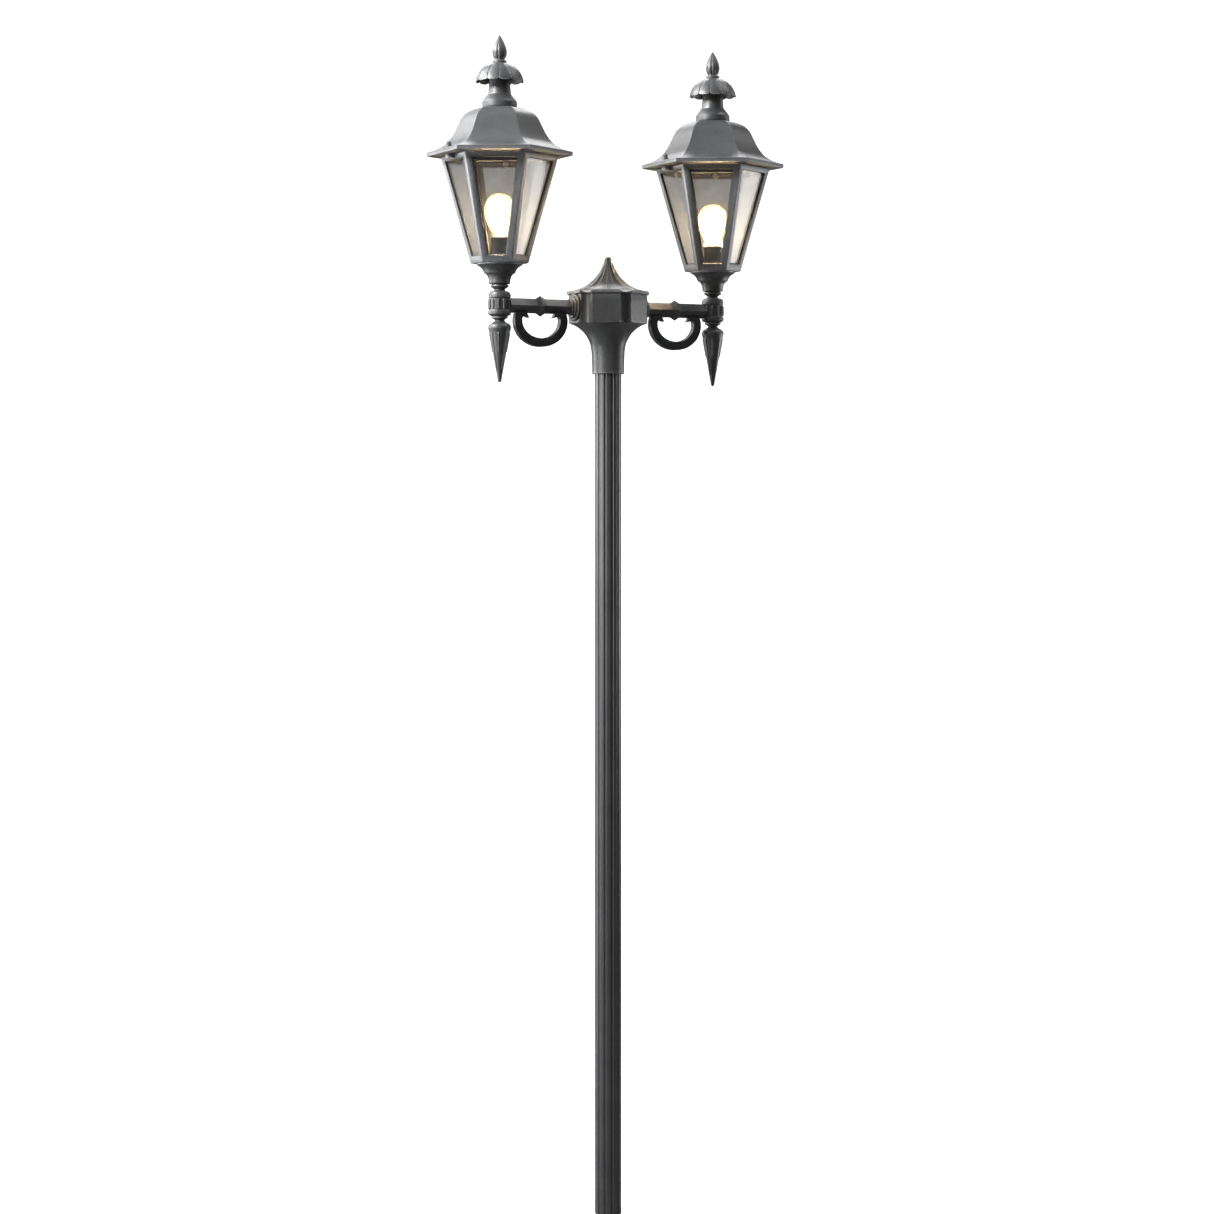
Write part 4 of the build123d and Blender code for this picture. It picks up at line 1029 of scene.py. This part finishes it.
# --------------------------------------------------------- building it all
for side, s in (("left", -1), ("right", 1)):
    x = s * AX
    flip = 0 if s > 0 else 180
    put(f"{side}_arm_bar", rotz(arm_mesh(), flip), M_ARM_PAINTED_SHADE, "post", [f"{side}_arm"], sharp=28)
    # the scroll ring takes the much darker copy of the coat: painted shade
    put(f"{side}_arm_scroll_ring", rotz(scroll_mesh(), flip), M_DARK_PAINTED_SHADE, "post", [f"{side}_arm_scroll"], bevel=2.3, segs=3, sharp=30)
    put(f"{side}_arm_rosette_rings", rotz(along_x(lathe(ROSETTE, 96), 1809.2), flip), M_COAT, "post", [f"{side}_arm_rosette"], sharp=34)
    put(f"{side}_barrel_beaded", shift(barrel_mesh(), x), M_COAT, "post", [f"{side}_holder_barrel"], sharp=40)
    put(f"{side}_spacer_turned", shift(lathe(SPACER, 72), x), M_COAT, "post", [f"{side}_spacer_disc"], sharp=36)
    put(f"{side}_drop_ribbed", shift(drop_mesh(), x), M_COAT, "post", [f"{side}_drop_finial"], sharp=42)
    put(f"{side}_cup_turned", shift(lathe(CUP, 96), x), M_COAT, "post", [f"{side}_lantern_cup"], sharp=36)
    put(f"{side}_frame_casting", shift(frame_mesh(), x), M_COAT, "post", [f"{side}_lantern_frame"], bevel=0.9, segs=2, limit=14.0, sharp=26)
    put(f"{side}_frame_lugs", shift(frame_lugs(), x), M_COAT, "post", [], sharp=30)
    put(f"{side}_pane_beads", shift(pane_gasket(), x), M_LEAD, "post", [], sharp=40)
    put(f"{side}_lampholder_ribbed", shift(lathe(HOLDER, 144, rfun=holder_r), x), M_HOLDER, "post", [f"{side}_lampholder"], sharp=34)
    put(f"{side}_bulb_screw_cap", shift(bulb_thread_mesh(), x), M_CAPMETAL, f"{side}_bulb", [f"{side}_bulb_cap"], sharp=50)
    glass = put(f"{side}_bulb_envelope", shift(lathe(BULB, 72), x), M_BULB, f"{side}_bulb", [f"{side}_bulb_glass"], sharp=60)
    glass.visible_shadow = False
    fil = put(f"{side}_bulb_filament_cage", shift(filament_mesh(), x), M_FIL, f"{side}_bulb", [f"{side}_bulb_filaments"], sharp=50)
    fil.visible_shadow = False
    lid = f"{side}_lid"
    put(f"{side}_roof_casting", shift(roof_mesh(), x), M_ROOF_PAINTED_LIGHT, lid, [f"{side}_roof"], sharp=24)
    put(f"{side}_roof_fittings", shift(roof_fittings(), x), M_ROOF_PAINTED_LIGHT, lid, [], sharp=30)
    put(f"{side}_chimney_turned", shift(lathe(CHIMNEY, 96), x), M_ROOF_PAINTED_LIGHT, lid, [f"{side}_chimney"], sharp=36)
    put(f"{side}_crown_scalloped", shift(rotz(crown_mesh(), CROWN_TURN[side]), x), M_ROOF_PAINTED_LIGHT, lid, [f"{side}_crown"], sharp=36)
    # the inside of the crown in the much darker copy of the coat: painted shade for the hollow under it
    put(f"{side}_crown_hollow", shift(rotz(crown_inside(), CROWN_TURN[side]), x), M_DARK_PAINTED_SHADE, lid, [], sharp=36)
    put(f"{side}_bud_lobed", shift(rotz(lathe(BUD, 192, rfun=bud_r), BUD_TURN[side]), x), M_ROOF_PAINTED_LIGHT, lid, [f"{side}_top_finial"], sharp=44)
    put(f"{side}_latch_knob", shift(shift(lathe(KNOB, 108, rfun=knob_r), -109.0), x), M_COAT, f"{side}_latch", [f"{side}_latch_screw"], sharp=34)
    # grub screw in the cup, on the side that faces the pole
    g = shift(along_x(socket_screw(2.0, 1.5, 0.4, 0.55)), 21.2, 0, 1856.0)
    put(f"{side}_cup_grub_screw", shift(rotz(g, 180 if s > 0 else 0), x), M_DARK_PAINTED_SHADE, "post", ["cup_set_screws"] if s > 0 else [], sharp=30)

# CAD nodes that stay as they are, each with its own finish
for name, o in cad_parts.items():
    b = name.replace("left_", "").replace("right_", "")
    mat = {"glass_panes": M_PANE, "lamp_lead": M_LEAD, "terminal_block": M_TERMINAL}.get(b, M_STEEL)
    if b in ("hinge_pin", "pane_clips"):
        mat = M_STEEL
    for i in range(len(o.material_slots)):
        o.material_slots[i].material = mat

# ------------------------------------------------------------ floor, light
floor_mesh = bpy.data.meshes.new("studio_floor")
N = 24
fv, ff = [], []
back = (math.sin(AZ), math.cos(AZ))       # not used
prof = [(-9.0, 0.0), (2.5, 0.0)] + [(2.5 + 4.0 * math.sin(rad(90 * j / N)), 4.0 - 4.0 * math.cos(rad(90 * j / N))) for j in range(1, N + 1)] + [(6.5, 14.0)]
ux, uy = -math.sin(AZ), math.cos(AZ)
for d, z in prof:
    for w in (-16.0, 16.0):
        fv.append((ux * d + uy * w, uy * d - ux * w, z - 0.0005))
for i in range(len(prof) - 1):
    ff.append((2 * i, 2 * i + 1, 2 * i + 3, 2 * i + 2))
floor_mesh.from_pydata(fv, [], ff)
floor_mesh.shade_smooth()
fm, fnt, fp = new_mat("studio_paper")
fnz = noise(fnt, 3.0, 3.0, 0.5)
paper = ramp(fnt, fnz, [(0.3, (0.60, 0.60, 0.60)), (0.7, (0.64, 0.64, 0.64))])
fp.inputs["Roughness"].default_value = 0.95
fp.inputs["Specular IOR Level"].default_value = 0.1
# seen by the camera the paper is lit up to white; as a reflector it stays an ordinary floor
lp = fnt.nodes.new("ShaderNodeLightPath")
fp.inputs["Emission Color"].default_value = (1, 1, 1, 1)
em = map_range(fnt, lp.outputs["Is Camera Ray"], 0.0, 1.0, 0.0, 0.80)
fnt.links.new(em, fp.inputs["Emission Strength"])
bounce = mix_col(fnt, lp.outputs["Is Camera Ray"], (0.13, 0.13, 0.13), paper)
fnt.links.new(bounce, fp.inputs["Base Color"])
floor_mesh.materials.append(fm)
floor = bpy.data.objects.new("studio_floor", floor_mesh)
scene.collection.objects.link(floor)

WORLD_LOW, WORLD_HIGH = 0.14, 0.50
world = bpy.data.worlds.new("studio")
scene.world = world
world.use_nodes = True
wnt = world.node_tree
bg = wnt.nodes["Background"]
bg.inputs["Color"].default_value = (1.0, 1.0, 1.0, 1)
wl = wnt.nodes.new("ShaderNodeLightPath")
# round the post the studio is brighter overhead than at the floor
wt = wnt.nodes.new("ShaderNodeTexCoord")
ws = wnt.nodes.new("ShaderNodeSeparateXYZ")
wnt.links.new(wt.outputs["Generated"], ws.inputs["Vector"])
wg = wnt.nodes.new("ShaderNodeMapRange")
wg.inputs["From Min"].default_value = -0.1
wg.inputs["From Max"].default_value = 0.7
wg.inputs["To Min"].default_value = WORLD_LOW
wg.inputs["To Max"].default_value = WORLD_HIGH
wnt.links.new(ws.outputs["Z"], wg.inputs["Value"])
wm = wnt.nodes.new("ShaderNodeMapRange")
wm.inputs["To Max"].default_value = 1.0
wnt.links.new(wg.outputs["Result"], wm.inputs["To Min"])
wnt.links.new(wl.outputs["Is Camera Ray"], wm.inputs["Value"])
wnt.links.new(wm.outputs["Result"], bg.inputs["Strength"])

R = Vector((math.cos(AZ), math.sin(AZ), 0))       # to the right in the picture
F = Vector((math.sin(AZ), -math.cos(AZ), 0))      # towards the camera


def area(name, at, aim, size, power, colour=(1, 1, 1)):
    d = bpy.data.lights.new(name, "AREA")
    d.shape = "RECTANGLE"
    d.size, d.size_y = size
    d.energy = power
    d.color = colour
    o = bpy.data.objects.new(name, d)
    scene.collection.objects.link(o)
    o.location = at
    o.rotation_euler = (Vector(aim) - Vector(at)).to_track_quat("-Z", "Y").to_euler()
    return o


up = Vector((0, 0, 1))


def round_at(deg, dist, z):
    """A place round the post, deg from the camera's own side, positive to the right in the picture."""
    a = rad(deg)
    return dist * (math.cos(a) * F + math.sin(a) * R) + z * up


area("key_high", round_at(-60, 3.0, 3.6), (0, 0, 2.0), (1.0, 0.8), 337)
area("edge_high", round_at(-105, 2.7, 3.6), (0, 0, 2.0), (1.3, 0.9), 125)
area("key_low", round_at(-60, 3.0, 1.6), (0, 0, 1.6), (1.0, 0.8), 59)
area("edge_mid", round_at(-110, 2.7, 1.9), (0, 0, 1.8), (0.9, 0.9), 44)
area("edge_low", round_at(-105, 2.7, 0.5), (0, 0, 0.5), (1.0, 0.8), 18)
area("back_left_high", round_at(-142, 2.7, 2.9), (0, 0, 2.0), (1.4, 1.3), 8)
area("right_high", round_at(118, 2.7, 2.9), (0, 0, 2.0), (1.4, 1.0), 11)
area("right_mid", round_at(113, 2.6, 1.35), (0, 0, 2.0), (1.3, 1.2), 36)
area("top_back", round_at(180, 2.4, 4.4), (0, 0, 2.0), (2.4, 1.4), 100)
area("top_left", round_at(-90, 1.9, 4.4), (0, 0, 2.0), (1.6, 1.6), 72)
area("top_right", round_at(90, 1.9, 4.4), (0, 0, 2.0), (1.6, 1.6), 45)

for s in (-1, 1):
    d = bpy.data.lights.new(f"lamp_glow_{s}", "POINT")
    d.energy = 8.0
    d.color = (1.0, 0.72, 0.38)
    d.shadow_soft_size = 0.022
    o = bpy.data.objects.new(f"lamp_glow_{s}", d)
    scene.collection.objects.link(o)
    o.location = (s * AX * MM, 0, 1.985)
